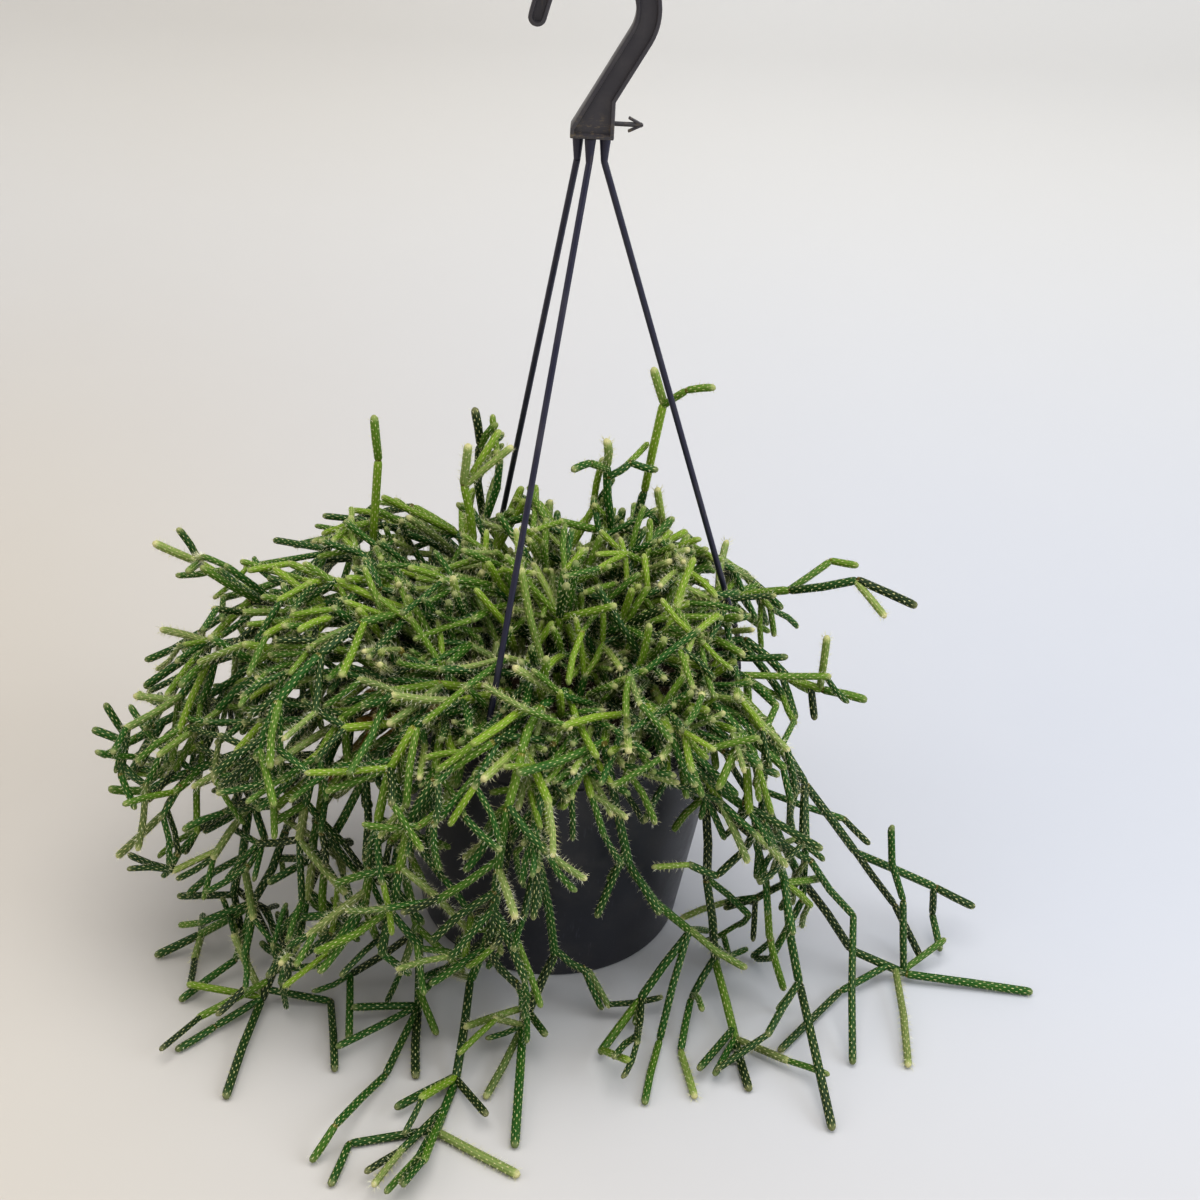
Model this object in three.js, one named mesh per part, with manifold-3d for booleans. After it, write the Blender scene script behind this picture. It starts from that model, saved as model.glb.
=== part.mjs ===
// Hairy-stemmed rhipsalis in a plastic hanging pot, standing on a surface. Millimetres, +Z up.
// The origin is the centre of the pot's base, +X is to the right and -Y is the front.

import * as THREE from 'three';
import { mergeVertices } from 'three/addons/utils/BufferGeometryUtils.js';
import Module from 'manifold-3d';

const wasm = await Module();
wasm.setup();

// Driving dimensions
const gap = 0.3;
const pot = {
  baseRadius: 65.5,
  rimRadius: 85,
  height: 144.5,
  bandHeight: 16,
  bandLip: 2,
  bandWall: 2.2,
  wall: 1.8,
  floor: 2,
  sides: 36,
  drainRadius: 4,
  drainRing: 42,
  drainCount: 6,
  drainSides: 6,
};
const soil = {
  top: 132,
  edgeDrop: 3,
  edgeWidth: 8,
  wallGap: 0.5,
  holeDepth: 12,
  holeRadius: 4.35,
  holeSides: 4,
  sides: 30,
};
const strap = {
  sides: 6,
  rodRadius: 1.4,
  coneRadius: 2.4,
  coneLength: 10,
  pegRadius: 1.3,
  pegLength: 7,
  pegHoleRadius: 1.76,
  buttonRadius: 4.2,
  buttonThickness: 2,
  buttonSides: 8,
  buttonRoom: 1.5,
  rimHoleRadius: 2.2,
  rimPegRadius: 1.6,
  rimPegLength: 3.4,
  seatHeight: 136.5,
  bendHeight: 150,
  stand: 0.5,
  weld: 0.5,
};
const strapEnds = [
  { name: 'strap_left', angle: 115, top: [-5.6, 1.8] },
  { name: 'strap_front', angle: 250, top: [-0.6, -2.2] },
  { name: 'strap_right', angle: 7, top: [5.4, 0.4] },
];
const hanger = {
  x: 4,
  bottom: 397,
  blockHalfWidth: 8.8,
  blockDepth: 10,
  blockRightHeight: 13,
  blockLeftHeight: 5,
  hookDepth: 8,
  armFoot: 7,
  armHalfWidth: 5.3,
  tipHalfWidth: 3.6,
  tipSides: 12,
  crookRadius: 20,
  crookCentre: [-0.8, 450],
  crookFrom: -29,
  crookTo: 165,
  crookSteps: 8,
  tipHeight: 443.5,
  rib: 1.6,
  recess: 1.8,
};
const labelPin = { height: 402.5, length: 11, radius: 1.2, sides: 8, sink: 2 };
const barb = { length: 6, thickness: 1.3, angle: 28, overlap: 0.4 };
const stem = {
  radius: 2.2,
  sideRadius: 1.9,
  tipRadius: 1.6,
  sides: 4,
  sideSides: 3,
  firstRise: 16,
  firstStep: 1.5,
  nextStep: 4.4,
  rootPart: 0.5,
  tipTaper: 2.2,
  lowest: 3.4,
  potRoom: 1.2,
  soilRoom: 0.5,
  strapRoom: 0.3,
};

// Stems drawn one by one: where each root stands, the joints of its main stem, and its side stems.
// A side stem starts at the main stem's joint with the number that it gives, counted from zero.
// A bare spray has no other side stems than these.
const drawnSprays = [
  {
    root: [-40, 25],
    bare: true,
    main: [[-86, 28, 155], [-92, 32, 182], [-89, 36, 226], [-91, 38, 248]],
    arms: [],
  },
  {
    root: [-25, 45],
    bare: true,
    main: [[-39, 50, 160], [-40, 50, 188], [-42, 45, 232], [-45, 45, 251]],
    arms: [[2, [-34, 38, 247]], [2, [-32, 60, 231]], [2, [-33, 30, 236]]],
  },
  {
    root: [-45, 8],
    bare: true,
    main: [[-43, 20, 166], [-43, 20, 194], [-48, 22, 223], [-46, 24, 243]],
    arms: [],
  },
  {
    root: [10, 35],
    bare: true,
    main: [[25, 30, 164], [22, 30, 198], [18, 30, 232], [17, 28, 247]],
    arms: [[2, [10, 15, 241], [2, 5, 242]], [2, [29, 36, 231], [42, 32, 230]]],
  },
  {
    root: [38, 42],
    bare: true,
    main: [[32, 45, 161], [37, 50, 209], [43, 50, 256], [37, 52, 273]],
    arms: [[2, [53, 44, 266], [66, 42, 269]]],
  },
  {
    root: [-48, 35],
    main: [[-83, 70, 151], [-124, 70, 148], [-156, 50, 140], [-180, 45, 159], [-200, 40, 172]],
    arms: [[3, [-190, 50, 175]]],
  },
  {
    root: [-58, 5],
    main: [
      [-102, -10, 176], [-133, -25, 157], [-171, -30, 127],
      [-188, -30, 114], [-202, -30, 103], [-218, -30, 110],
    ],
    arms: [[4, [-212, -25, 122]], [4, [-212, -40, 102]], [3, [-204, -30, 81]]],
  },
  {
    root: [-60, 16],
    main: [[-108, 16, 152], [-150, 20, 154], [-170, 10, 134], [-200, 0, 114]],
    arms: [[1, [-177, 25, 131], [-204, 20, 116]]],
  },
  {
    root: [-60, -15],
    main: [[-112, -40, 146], [-140, -50, 118], [-167, -55, 107], [-186, -55, 95], [-204, -60, 99]],
    arms: [[2, [-176, -70, 95], [-199, -75, 71]]],
  },
  {
    root: [-50, -30],
    main: [
      [-74, -46, 160], [-104, -66, 125], [-123, -61, 80],
      [-140, -69, 40], [-168, -61, 12], [-189, -67, 3],
    ],
    arms: [[3, [-148, -75, 10], [-171, -96, 3]]],
  },
  {
    root: [-40, -42],
    main: [
      [-60, -62, 160], [-84, -78, 125], [-103, -73, 80],
      [-120, -79, 35], [-132, -97, 6], [-138, -154, 3],
    ],
    arms: [[4, [-151, -112, 4], [-166, -127, 3]], [4, [-100, -92, 4], [-92, -135, 3]]],
  },
  {
    root: [-30, -50],
    main: [[-50, -75, 160], [-69, -78, 90], [-59, -82, 40], [-58, -97, 5], [-55, -137, 3]],
    arms: [[3, [-69, -137, 4], [-86, -175, 12], [-95, -187, 3]], [2, [-92, -81, 10], [-90, -116, 3]]],
  },
  {
    root: [-15, -58],
    main: [[-14, -90, 158], [-22, -92, 75], [-34, -92, 20], [-37, -138, 3], [-43, -167, 3], [-5, -189, 3]],
    arms: [[4, [-82, -155, 3]], [4, [-80, -176, 3], [-85, -199, 3]]],
  },
  {
    root: [5, -60],
    main: [[0, -90, 160], [-4, -92, 95], [5, -88, 35], [-8, -99, 10], [-8, -174, 3]],
    arms: [[2, [-9, -110, 8], [-23, -147, 3]]],
  },
  {
    root: [22, -55],
    main: [[22, -88, 160], [37, -86, 90], [69, -72, 40], [46, -94, 15], [28, -120, 6]],
    arms: [[2, [56, -108, 4], [49, -146, 3]]],
  },
  {
    root: [38, -45],
    main: [[31, -73, 165], [60, -81, 148], [96, -73, 110], [111, -71, 70], [121, -89, 25], [133, -156, 3]],
    arms: [
      [2, [89, -77, 95], [77, -84, 85], [63, -88, 95]],
      [2, [102, -68, 70], [107, -70, 35], [116, -78, 10]],
      [2, [123, -58, 75], [149, -50, 35], [146, -116, 3]],
    ],
  },
  {
    root: [55, -20],
    main: [[82, -37, 155], [100, -49, 140], [118, -46, 110], [149, -33, 60], [194, -21, 30], [215, -23, 20]],
    arms: [
      [3, [173, -30, 25], [187, -47, 6]],
      [4, [195, -21, 12], [198, -38, 4]],
      [2, [121, -58, 50], [110, -60, 12]],
    ],
  },
  {
    root: [58, -5],
    main: [[88, -20, 152], [100, -36, 95], [121, -49, 55], [150, -53, 15], [178, -58, 6], [240, -63, 3]],
    arms: [[4, [175, -37, 35], [165, -29, 75]], [4, [172, -116, 3]], [4, [144, -71, 5], [112, -110, 3]]],
  },
  {
    root: [48, -35],
    main: [[62, -62, 160], [70, -68, 115], [74, -70, 70], [82, -70, 20], [92, -106, 4], [97, -135, 3]],
    arms: [[3, [71, -85, 8], [66, -113, 3], [72, -141, 3]], [2, [50, -76, 40], [32, -90, 10]]],
  },
  {
    root: [50, 22],
    main: [[77, 35, 158], [110, 30, 169], [140, 20, 183], [168, 10, 176]],
    arms: [[2, [153, 5, 172]], [1, [130, 45, 178], [143, 40, 179]]],
  },
  {
    root: [60, 5],
    main: [[88, 5, 156], [110, -5, 141], [126, -8, 138], [147, -12, 136]],
    arms: [[2, [125, -5, 167]], [2, [123, -15, 125]]],
  },
];

// Stems grown by the rule. Each kind has a fan of headings, a ring that its roots stand in, and its own way
// up and over. Angles are in degrees, and a pitch of 90 points straight up.
const seed = 1;
const kinds = [
  { count: 6, fan: [0, 360], ring: [4, 36], joints: 3, step: [15, 24], pitch: [58, 88], bend: 10, arms: 6 },
  { count: 5, fan: [-60, 75], ring: [24, 62], joints: 3, step: [16, 27], pitch: [58, 82], bend: 12, arms: 8 },
  { count: 5, fan: [145, 215], ring: [30, 66], joints: 6, step: [22, 33], pitch: [42, 62], bend: 22, arms: 7 },
  { count: 7, fan: [178, 256], ring: [46, 67], joints: 7, step: [20, 31], pitch: [30, 50], bend: 30, arms: 7 },
  { count: 3, fan: [62, 140], ring: [40, 66], joints: 5, step: [20, 31], pitch: [42, 62], bend: 24, arms: 5 },
  { count: 4, fan: [-32, 62], ring: [36, 66], joints: 4, step: [20, 28], pitch: [45, 66], bend: 26, arms: 6 },
  { count: 3, fan: [258, 330], ring: [26, 60], joints: 3, step: [16, 26], pitch: [30, 55], bend: 24, arms: 5 },
];
const rooting = { spacing: 9.5, tries: 60, spread: 30, widening: 3 };
const growth = {
  attempts: 5,
  turn: 24,
  turnWidening: 18,
  lean: 20,
  steepest: -80,
  bendPart: [0.7, 1.3],
  wander: 8,
  tries: 4,
  ground: 12,
  fewestJoints: 2,
};
const whorl = { angle: [32, 58], length: [16, 34], lift: 0.18 };
const tips = { angle: [25, 50], length: [12, 24], lift: 0, chance: 0.45 };
const siding = { tries: 6, wander: 2, groundLift: 0.2, drawnArms: 4 };

// The dome that grown stems stay under: its top, how it falls to each side, and how far out it goes
const dome = {
  top: 214,
  fallLeft: 0.0011,
  fallRight: 0.0047,
  fallDepth: 0.0042,
  left: -198,
  right: 124,
  back: 105,
};

// How far a drawn joint may move to where nothing is in its way
const drawing = { firstWander: 40, wander: 14, tries: 40, armWander: 12, armTries: 16 };

// One repeatable series of random numbers
let seriesState = seed;
function random() {
  seriesState = (Math.imul(1664525, seriesState) + 1013904223) >>> 0;
  return seriesState / 2 ** 32;
}
function between([low, high]) {
  return low + (high - low) * random();
}
function around(width) {
  return (random() - 0.5) * width;
}
const radians = Math.PI / 180;

// Joining and cutting closed shapes
function solid(geometry) {
  const bare = geometry.clone();
  bare.deleteAttribute('normal');
  bare.deleteAttribute('uv');
  const merged = mergeVertices(bare, 1e-4);
  const vertProperties = new Float32Array(merged.attributes.position.array);
  const triVerts = new Uint32Array(merged.index.array);
  const made = new wasm.Manifold(new wasm.Mesh({ numProp: 3, vertProperties, triVerts }));
  if (made.volume() > 0) return made;
  for (let i = 0; i < triVerts.length; i += 3) {
    const second = triVerts[i + 1];
    triVerts[i + 1] = triVerts[i + 2];
    triVerts[i + 2] = second;
  }
  return new wasm.Manifold(new wasm.Mesh({ numProp: 3, vertProperties, triVerts }));
}
function join(solids) {
  return solids.reduce((sum, part) => sum.add(part));
}
function surface(body) {
  const { vertProperties, triVerts } = body.getMesh();
  const geometry = new THREE.BufferGeometry();
  geometry.setAttribute('position', new THREE.BufferAttribute(vertProperties, 3));
  geometry.setIndex(new THREE.BufferAttribute(triVerts, 1));
  geometry.computeVertexNormals();
  return geometry;
}

// Plain shapes
function upright(radiusTop, radiusBottom, height, sides, x, y, bottom) {
  const geometry = new THREE.CylinderGeometry(radiusTop, radiusBottom, height, sides);
  geometry.rotateX(Math.PI / 2);
  geometry.translate(x, y, bottom + height / 2);
  return solid(geometry);
}
function radial(radius, from, to, sides, angle, z) {
  const geometry = new THREE.CylinderGeometry(radius, radius, to - from, sides);
  geometry.rotateZ(-Math.PI / 2);
  geometry.translate((from + to) / 2, 0, z);
  geometry.rotateZ(angle * radians);
  return solid(geometry);
}
function turned(profile, sides) {
  const points = profile.map(([radius, z]) => new THREE.Vector2(radius, z));
  const geometry = new THREE.LatheGeometry(points, sides);
  geometry.rotateX(Math.PI / 2);
  return solid(geometry);
}

// A line through given points, with a ring of the tube at each of them
class PointLine extends THREE.Curve {
  constructor(points) {
    super();
    this.points = points;
  }
  getPoint(t, target = new THREE.Vector3()) {
    const along = Math.min(t, 1) * (this.points.length - 1);
    const k = Math.min(Math.floor(along + 1e-9), this.points.length - 2);
    return target.lerpVectors(this.points[k], this.points[k + 1], along - k);
  }
  getPointAt(u, target) {
    return this.getPoint(u, target);
  }
  getTangentAt(u, target = new THREE.Vector3()) {
    const last = this.points.length - 1;
    const k = Math.round(u * last);
    const before = this.points[Math.max(k - 1, 0)];
    const after = this.points[Math.min(k + 1, last)];
    return target.subVectors(after, before).normalize();
  }
}
// A section with few sides keeps the area of the round stem, so its corners stand a little out
function cornerReach(sides) {
  return Math.sqrt((2 * Math.PI) / (sides * Math.sin((2 * Math.PI) / sides)));
}
function tube(points, radius, sides) {
  const section = new THREE.Shape();
  const reach = radius * cornerReach(sides);
  for (let k = 0; k < sides; k += 1) {
    const a = (2 * Math.PI * (k + 0.5)) / sides;
    if (k === 0) section.moveTo(reach * Math.cos(a), reach * Math.sin(a));
    else section.lineTo(reach * Math.cos(a), reach * Math.sin(a));
  }
  const geometry = new THREE.ExtrudeGeometry(section, {
    steps: points.length - 1,
    extrudePath: new PointLine(points),
    bevelEnabled: false,
  });
  return solid(geometry);
}
// One straight side stem, narrow where it leaves its joint and again at its tip
function sideStem(from, to, radius) {
  const length = from.distanceTo(to);
  const reach = radius * cornerReach(stem.sideSides);
  const profile = [[0, 0], [reach * stem.rootPart, 0], [reach, length - stem.tipTaper], [0, length]];
  const geometry = new THREE.LatheGeometry(profile.map(([x, y]) => new THREE.Vector2(x, y)), stem.sideSides);
  const way = to.clone().sub(from).normalize();
  geometry.applyQuaternion(new THREE.Quaternion().setFromUnitVectors(new THREE.Vector3(0, 1, 0), way));
  geometry.translate(from.x, from.y, from.z);
  return solid(geometry);
}

// The pot
const bandBottom = pot.height - pot.bandHeight;
const wallTopRadius = pot.rimRadius - pot.bandLip;
function outerRadius(z) {
  if (z > bandBottom) return pot.rimRadius;
  return pot.baseRadius + (wallTopRadius - pot.baseRadius) * (z / bandBottom);
}
function innerRadius(z) {
  return pot.baseRadius + (wallTopRadius - pot.baseRadius) * (z / bandBottom) - pot.wall;
}
function makePot() {
  const shelf = bandBottom + pot.wall / 2;
  let body = turned(
    [
      [0, 0],
      [pot.baseRadius, 0],
      [wallTopRadius, bandBottom],
      [pot.rimRadius, bandBottom],
      [pot.rimRadius, pot.height],
      [pot.rimRadius - pot.bandWall, pot.height],
      [innerRadius(shelf), shelf],
      [innerRadius(pot.floor), pot.floor],
      [0, pot.floor],
    ],
    pot.sides,
  );
  for (let k = 0; k < pot.drainCount; k += 1) {
    const a = (2 * Math.PI * k) / pot.drainCount;
    const x = pot.drainRing * Math.cos(a);
    const y = pot.drainRing * Math.sin(a);
    body = body.subtract(
      upright(pot.drainRadius, pot.drainRadius, 3 * pot.floor, pot.drainSides, x, y, -pot.floor),
    );
  }
  const through = 3 * pot.wall;
  for (const { angle } of strapEnds) {
    const [from, to] = [pot.rimRadius - through, pot.rimRadius + through];
    body = body.subtract(radial(strap.rimHoleRadius, from, to, strap.sides, angle, strap.seatHeight));
  }
  return body;
}

// The soil, with one plain hole for each root
function makeSoil(roots) {
  const edge = soil.top - soil.edgeDrop;
  const bottom = pot.floor + gap;
  let body = turned(
    [
      [0, bottom],
      [innerRadius(bottom) - soil.wallGap, bottom],
      [innerRadius(edge) - soil.wallGap, edge],
      [innerRadius(edge) - soil.edgeWidth, soil.top],
      [0, soil.top],
    ],
    soil.sides,
  );
  const holeFloor = soil.top - soil.holeDepth;
  for (const [x, y] of roots) {
    body = body.subtract(
      upright(soil.holeRadius, soil.holeRadius, 2 * soil.holeDepth, soil.holeSides, x, y, holeFloor),
    );
  }
  return body;
}

// The hook: a block, a slanted arm and a round crook, with a shallow channel in both faces
function onCrook(angle) {
  const [x, z] = hanger.crookCentre;
  return [
    x + hanger.crookRadius * Math.cos(angle * radians),
    z + hanger.crookRadius * Math.sin(angle * radians),
  ];
}
function crookLine() {
  const [armTopX, armTopZ] = onCrook(hanger.crookFrom);
  const armFootZ = hanger.bottom + hanger.armFoot;
  const armAngle = (hanger.crookFrom + 90) * radians;
  const points = [[armTopX - (armTopZ - armFootZ) / Math.tan(armAngle), armFootZ]];
  for (let k = 0; k <= hanger.crookSteps; k += 1) {
    points.push(onCrook(hanger.crookFrom + ((hanger.crookTo - hanger.crookFrom) * k) / hanger.crookSteps));
  }
  const [endX, endZ] = points.at(-1);
  const legLean = Math.tan((180 - hanger.crookTo) * radians);
  points.push([endX - (endZ - hanger.tipHeight) * legLean, hanger.tipHeight]);
  return points;
}
function slab(outline, depth, y) {
  const geometry = new THREE.ExtrudeGeometry(new THREE.Shape(outline), { depth, bevelEnabled: false });
  geometry.rotateX(Math.PI / 2);
  geometry.translate(hanger.x, y + depth, 0);
  return solid(geometry);
}
function ribbon(points, inset, depth, y) {
  const left = [];
  const right = [];
  const last = points.length - 1;
  points.forEach(([x, z], k) => {
    const [beforeX, beforeZ] = points[Math.max(k - 1, 0)];
    const [afterX, afterZ] = points[Math.min(k + 1, last)];
    const length = Math.hypot(afterX - beforeX, afterZ - beforeZ);
    const taper = Math.max(0, (2 * k) / last - 1);
    const half = hanger.armHalfWidth + (hanger.tipHalfWidth - hanger.armHalfWidth) * taper - inset;
    const sideX = (-(afterZ - beforeZ) / length) * half;
    const sideZ = ((afterX - beforeX) / length) * half;
    left.push(new THREE.Vector2(x + sideX, z + sideZ));
    right.push(new THREE.Vector2(x - sideX, z - sideZ));
  });
  return slab([...left, ...right.reverse()], depth, y);
}
function roundTip([x, z], radius) {
  const geometry = new THREE.CylinderGeometry(radius, radius, hanger.hookDepth, hanger.tipSides);
  geometry.translate(hanger.x + x, 0, z);
  return solid(geometry);
}
function makeLabelPin() {
  const base = hanger.x + hanger.blockHalfWidth;
  const length = labelPin.length + labelPin.sink;
  const rod = new THREE.CylinderGeometry(labelPin.radius, labelPin.radius, length, labelPin.sides);
  rod.rotateZ(Math.PI / 2);
  rod.translate(base - labelPin.sink + length / 2, 0, labelPin.height);
  const parts = [solid(rod)];
  for (const side of [1, -1]) {
    const arm = new THREE.BoxGeometry(barb.length, labelPin.radius * 2, barb.thickness);
    arm.translate(barb.overlap - barb.length / 2, 0, 0);
    arm.rotateY(side * barb.angle * radians);
    arm.translate(base + labelPin.length, 0, labelPin.height);
    parts.push(solid(arm));
  }
  return join(parts);
}
function makeBlock() {
  const half = hanger.blockHalfWidth;
  const corners = [
    [-half, hanger.bottom],
    [half, hanger.bottom],
    [half, hanger.bottom + hanger.blockRightHeight],
    [-half, hanger.bottom + hanger.blockLeftHeight],
  ];
  const outline = corners.map(([x, z]) => new THREE.Vector2(x, z));
  return slab(outline, hanger.blockDepth, -hanger.blockDepth / 2);
}
function makeHook() {
  const line = crookLine();
  const face = hanger.hookDepth / 2;
  const arm = ribbon(line, 0, hanger.hookDepth, -face);
  let body = arm.add(roundTip(line.at(-1), hanger.tipHalfWidth));
  for (const y of [face - hanger.recess, -face - hanger.recess]) {
    body = body.subtract(ribbon(line.slice(0, -1), hanger.rib, 2 * hanger.recess, y));
  }
  body = body.add(makeBlock()).add(makeLabelPin());
  const depth = strap.pegLength + 2 * gap;
  for (const { top } of strapEnds) {
    const [x, y] = [hanger.x + top[0], top[1]];
    const bottom = hanger.bottom - gap;
    body = body.subtract(upright(strap.pegHoleRadius, strap.pegHoleRadius, depth, strap.sides, x, y, bottom));
  }
  return body;
}

// A strap: a peg in the block, a cone, a rod, and a button whose peg goes through the rim
function strapLine({ angle, top }) {
  const out = pot.rimRadius + strap.stand + strap.rodRadius;
  const [x, y] = [out * Math.cos(angle * radians), out * Math.sin(angle * radians)];
  return [
    new THREE.Vector3(hanger.x + top[0], top[1], hanger.bottom - gap - strap.coneLength),
    new THREE.Vector3(x, y, strap.bendHeight),
    new THREE.Vector3(x, y, strap.seatHeight),
  ];
}
function makeStrap(end) {
  const { angle, top } = end;
  const [x, y] = [hanger.x + top[0], top[1]];
  const coneTop = hanger.bottom - gap;
  const coneLength = strap.coneLength + strap.weld;
  const pegLength = strap.pegLength + strap.weld;
  const face = pot.rimRadius + gap;
  const outside = face + strap.buttonThickness;
  const inside = pot.rimRadius - strap.rimPegLength;
  return join([
    tube(strapLine(end), strap.rodRadius, strap.sides),
    upright(strap.coneRadius, strap.rodRadius, coneLength, strap.sides, x, y, coneTop - coneLength),
    upright(strap.pegRadius, strap.pegRadius, pegLength, strap.sides, x, y, coneTop - strap.weld),
    radial(strap.buttonRadius, face, outside, strap.buttonSides, angle, strap.seatHeight),
    radial(strap.rimPegRadius, inside, face + strap.weld, strap.sides, angle, strap.seatHeight),
  ]);
}

// Space already taken, as points spread over a grid of cells
const cell = 7;
const sample = 3;
const takenCells = new Map();
function cellOf(p) {
  return [Math.floor(p.x / cell), Math.floor(p.y / cell), Math.floor(p.z / cell)];
}
function along(points) {
  const found = [];
  for (let k = 0; k + 1 < points.length; k += 1) {
    const [from, to] = [points[k], points[k + 1]];
    const count = Math.max(1, Math.ceil(from.distanceTo(to) / sample));
    for (let j = k === 0 ? 0 : 1; j <= count; j += 1) found.push(from.clone().lerp(to, j / count));
  }
  return found;
}
function take(points, reach, owner) {
  for (const point of along(points)) {
    const key = cellOf(point).join();
    if (!takenCells.has(key)) takenCells.set(key, []);
    takenCells.get(key).push({ point, reach, owner });
  }
}
function clearOfPot(p, reach) {
  const room = reach + stem.potRoom;
  if (p.z > pot.height + room) return true;
  const distance = Math.hypot(p.x, p.y);
  if (p.z > bandBottom - room && distance > pot.rimRadius + room) return true;
  if (p.z <= bandBottom - room && distance > outerRadius(p.z) + room) return true;
  return distance < innerRadius(soil.top) - room && p.z > soil.top + reach + stem.soilRoom;
}
function clearOfStems(p, reach, owner) {
  const [cx, cy, cz] = cellOf(p);
  const slack = (sample * sample) / 2;
  for (let ix = cx - 1; ix <= cx + 1; ix += 1) {
    for (let iy = cy - 1; iy <= cy + 1; iy += 1) {
      for (let iz = cz - 1; iz <= cz + 1; iz += 1) {
        for (const other of takenCells.get([ix, iy, iz].join()) ?? []) {
          if (other.owner === owner) continue;
          const need = reach + other.reach + gap;
          if (p.distanceToSquared(other.point) < need * need + slack) return false;
        }
      }
    }
  }
  return true;
}
function isClear(points, reach, owner) {
  return along(points).every(
    (p) => p.z > stem.lowest - 0.01 && clearOfPot(p, reach) && clearOfStems(p, reach, owner),
  );
}

function underDome({ x, y, z }) {
  const fall = (x < 0 ? dome.fallLeft : dome.fallRight) * x * x + dome.fallDepth * y * y;
  return z < dome.top - fall && x > dome.left && x < dome.right && y < dome.back;
}

// One stem from joint to joint. It tries places near its target until it meets nothing.
function placeStem(spray, start, target, reach, wander, tries, domed = false) {
  for (let k = 0; k < tries; k += 1) {
    const spread = (wander * k) / tries;
    const [x, y, z] = [around(spread), around(spread), around(spread)];
    const end = new THREE.Vector3(target.x + x, target.y + y, Math.max(target.z + z, stem.lowest));
    if (domed && !underDome(end)) continue;
    if (isClear([start, end], reach, spray)) return end;
  }
  return null;
}
function jointAt(point, start) {
  return { point, heading: point.clone().sub(start).normalize(), carried: 0 };
}

// The main stem of a spray rises from its hole in the soil and then goes from joint to joint
const mainReach = stem.radius * cornerReach(stem.sides);
const sideReach = stem.sideRadius * cornerReach(stem.sideSides);
const tipReach = stem.tipRadius * cornerReach(stem.sideSides);
function startSpray(root) {
  const [x, y] = root;
  const foot = new THREE.Vector3(x, y, soil.top - soil.holeDepth + gap);
  const head = new THREE.Vector3(x, y, soil.top + stem.firstRise);
  return { root, main: [foot, head], joints: [], sides: [] };
}
function extendMain(spray, target, wander, tries, domed = false) {
  const start = spray.main.at(-1);
  const found = placeStem(spray, start, target, mainReach, wander, tries, domed);
  if (!found) return false;
  spray.main.push(found);
  spray.joints.push(jointAt(found, start));
  return true;
}
function direction(azimuth, pitch) {
  const flat = Math.cos(pitch * radians);
  return new THREE.Vector3(
    flat * Math.cos(azimuth * radians),
    flat * Math.sin(azimuth * radians),
    Math.sin(pitch * radians),
  );
}
function growSpray(root, firstHeading, kind) {
  const spray = startSpray(root);
  let pitch = between(kind.pitch);
  let heading = firstHeading;
  for (let k = 0; k < kind.joints; k += 1) {
    const start = spray.main.at(-1);
    let grown = false;
    for (let attempt = 0; attempt < growth.attempts && !grown; attempt += 1) {
      const turn = heading + around(growth.turn + growth.turnWidening * attempt);
      const lean = Math.max(pitch + around(growth.lean), growth.steepest);
      const target = start.clone().addScaledVector(direction(turn, lean), between(kind.step));
      grown = extendMain(spray, target, growth.wander, growth.tries, true);
      if (grown) heading = turn;
    }
    if (!grown) break;
    pitch -= kind.bend * between(growth.bendPart);
    if (spray.main.at(-1).z < growth.ground) pitch = 0;
  }
  if (spray.joints.length < growth.fewestJoints) return null;
  take(spray.main, mainReach, spray);
  return spray;
}

// Side stems leave a joint in a ring, each a little lower down than the one before
function leavePoint({ point, heading, carried }) {
  const start = point.clone().addScaledVector(heading, -stem.firstStep - stem.nextStep * carried);
  start.z = Math.max(start.z, stem.lowest);
  return start;
}
function addSide(spray, joint, points, radius, reach) {
  take(points, reach, spray);
  spray.sides.push({ points, radius });
  joint.carried += 1;
}
function whorlEnd({ point, heading }, roll, angle, length, lift) {
  const across = Math.abs(heading.z) < 0.9 ? new THREE.Vector3(0, 0, 1) : new THREE.Vector3(1, 0, 0);
  const first = across.clone().cross(heading).normalize();
  const second = heading.clone().cross(first);
  const side = first.multiplyScalar(Math.cos(roll)).addScaledVector(second, Math.sin(roll));
  const way = heading.clone().multiplyScalar(Math.cos(angle)).addScaledVector(side, Math.sin(angle));
  way.z += lift;
  if (point.z < growth.ground) way.z = Math.abs(way.z) * siding.groundLift;
  return point.clone().addScaledVector(way.normalize(), length);
}
function growSide(spray, joint, radius, reach, shape) {
  const start = leavePoint(joint);
  for (let k = 0; k < siding.tries; k += 1) {
    const angle = between(shape.angle) * radians;
    const length = between(shape.length);
    const target = whorlEnd(joint, 2 * Math.PI * random(), angle, length, shape.lift);
    const found = placeStem(spray, start, target, reach, siding.wander, 1, true);
    if (!found) continue;
    addSide(spray, joint, [start, found], radius, reach);
    return jointAt(found, start);
  }
  return null;
}
function branchSpray(spray, open, count) {
  for (let k = 0; k < count && open.length > 0; k += 1) {
    const pick = k === 0 ? open.length - 1 : Math.floor(random() * open.length);
    const grown = growSide(spray, open[pick], stem.sideRadius, sideReach, whorl);
    if (grown && random() < tips.chance) {
      growSide(spray, grown, stem.tipRadius, tipReach, tips);
      growSide(spray, grown, stem.tipRadius, tipReach, tips);
    }
  }
}

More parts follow.
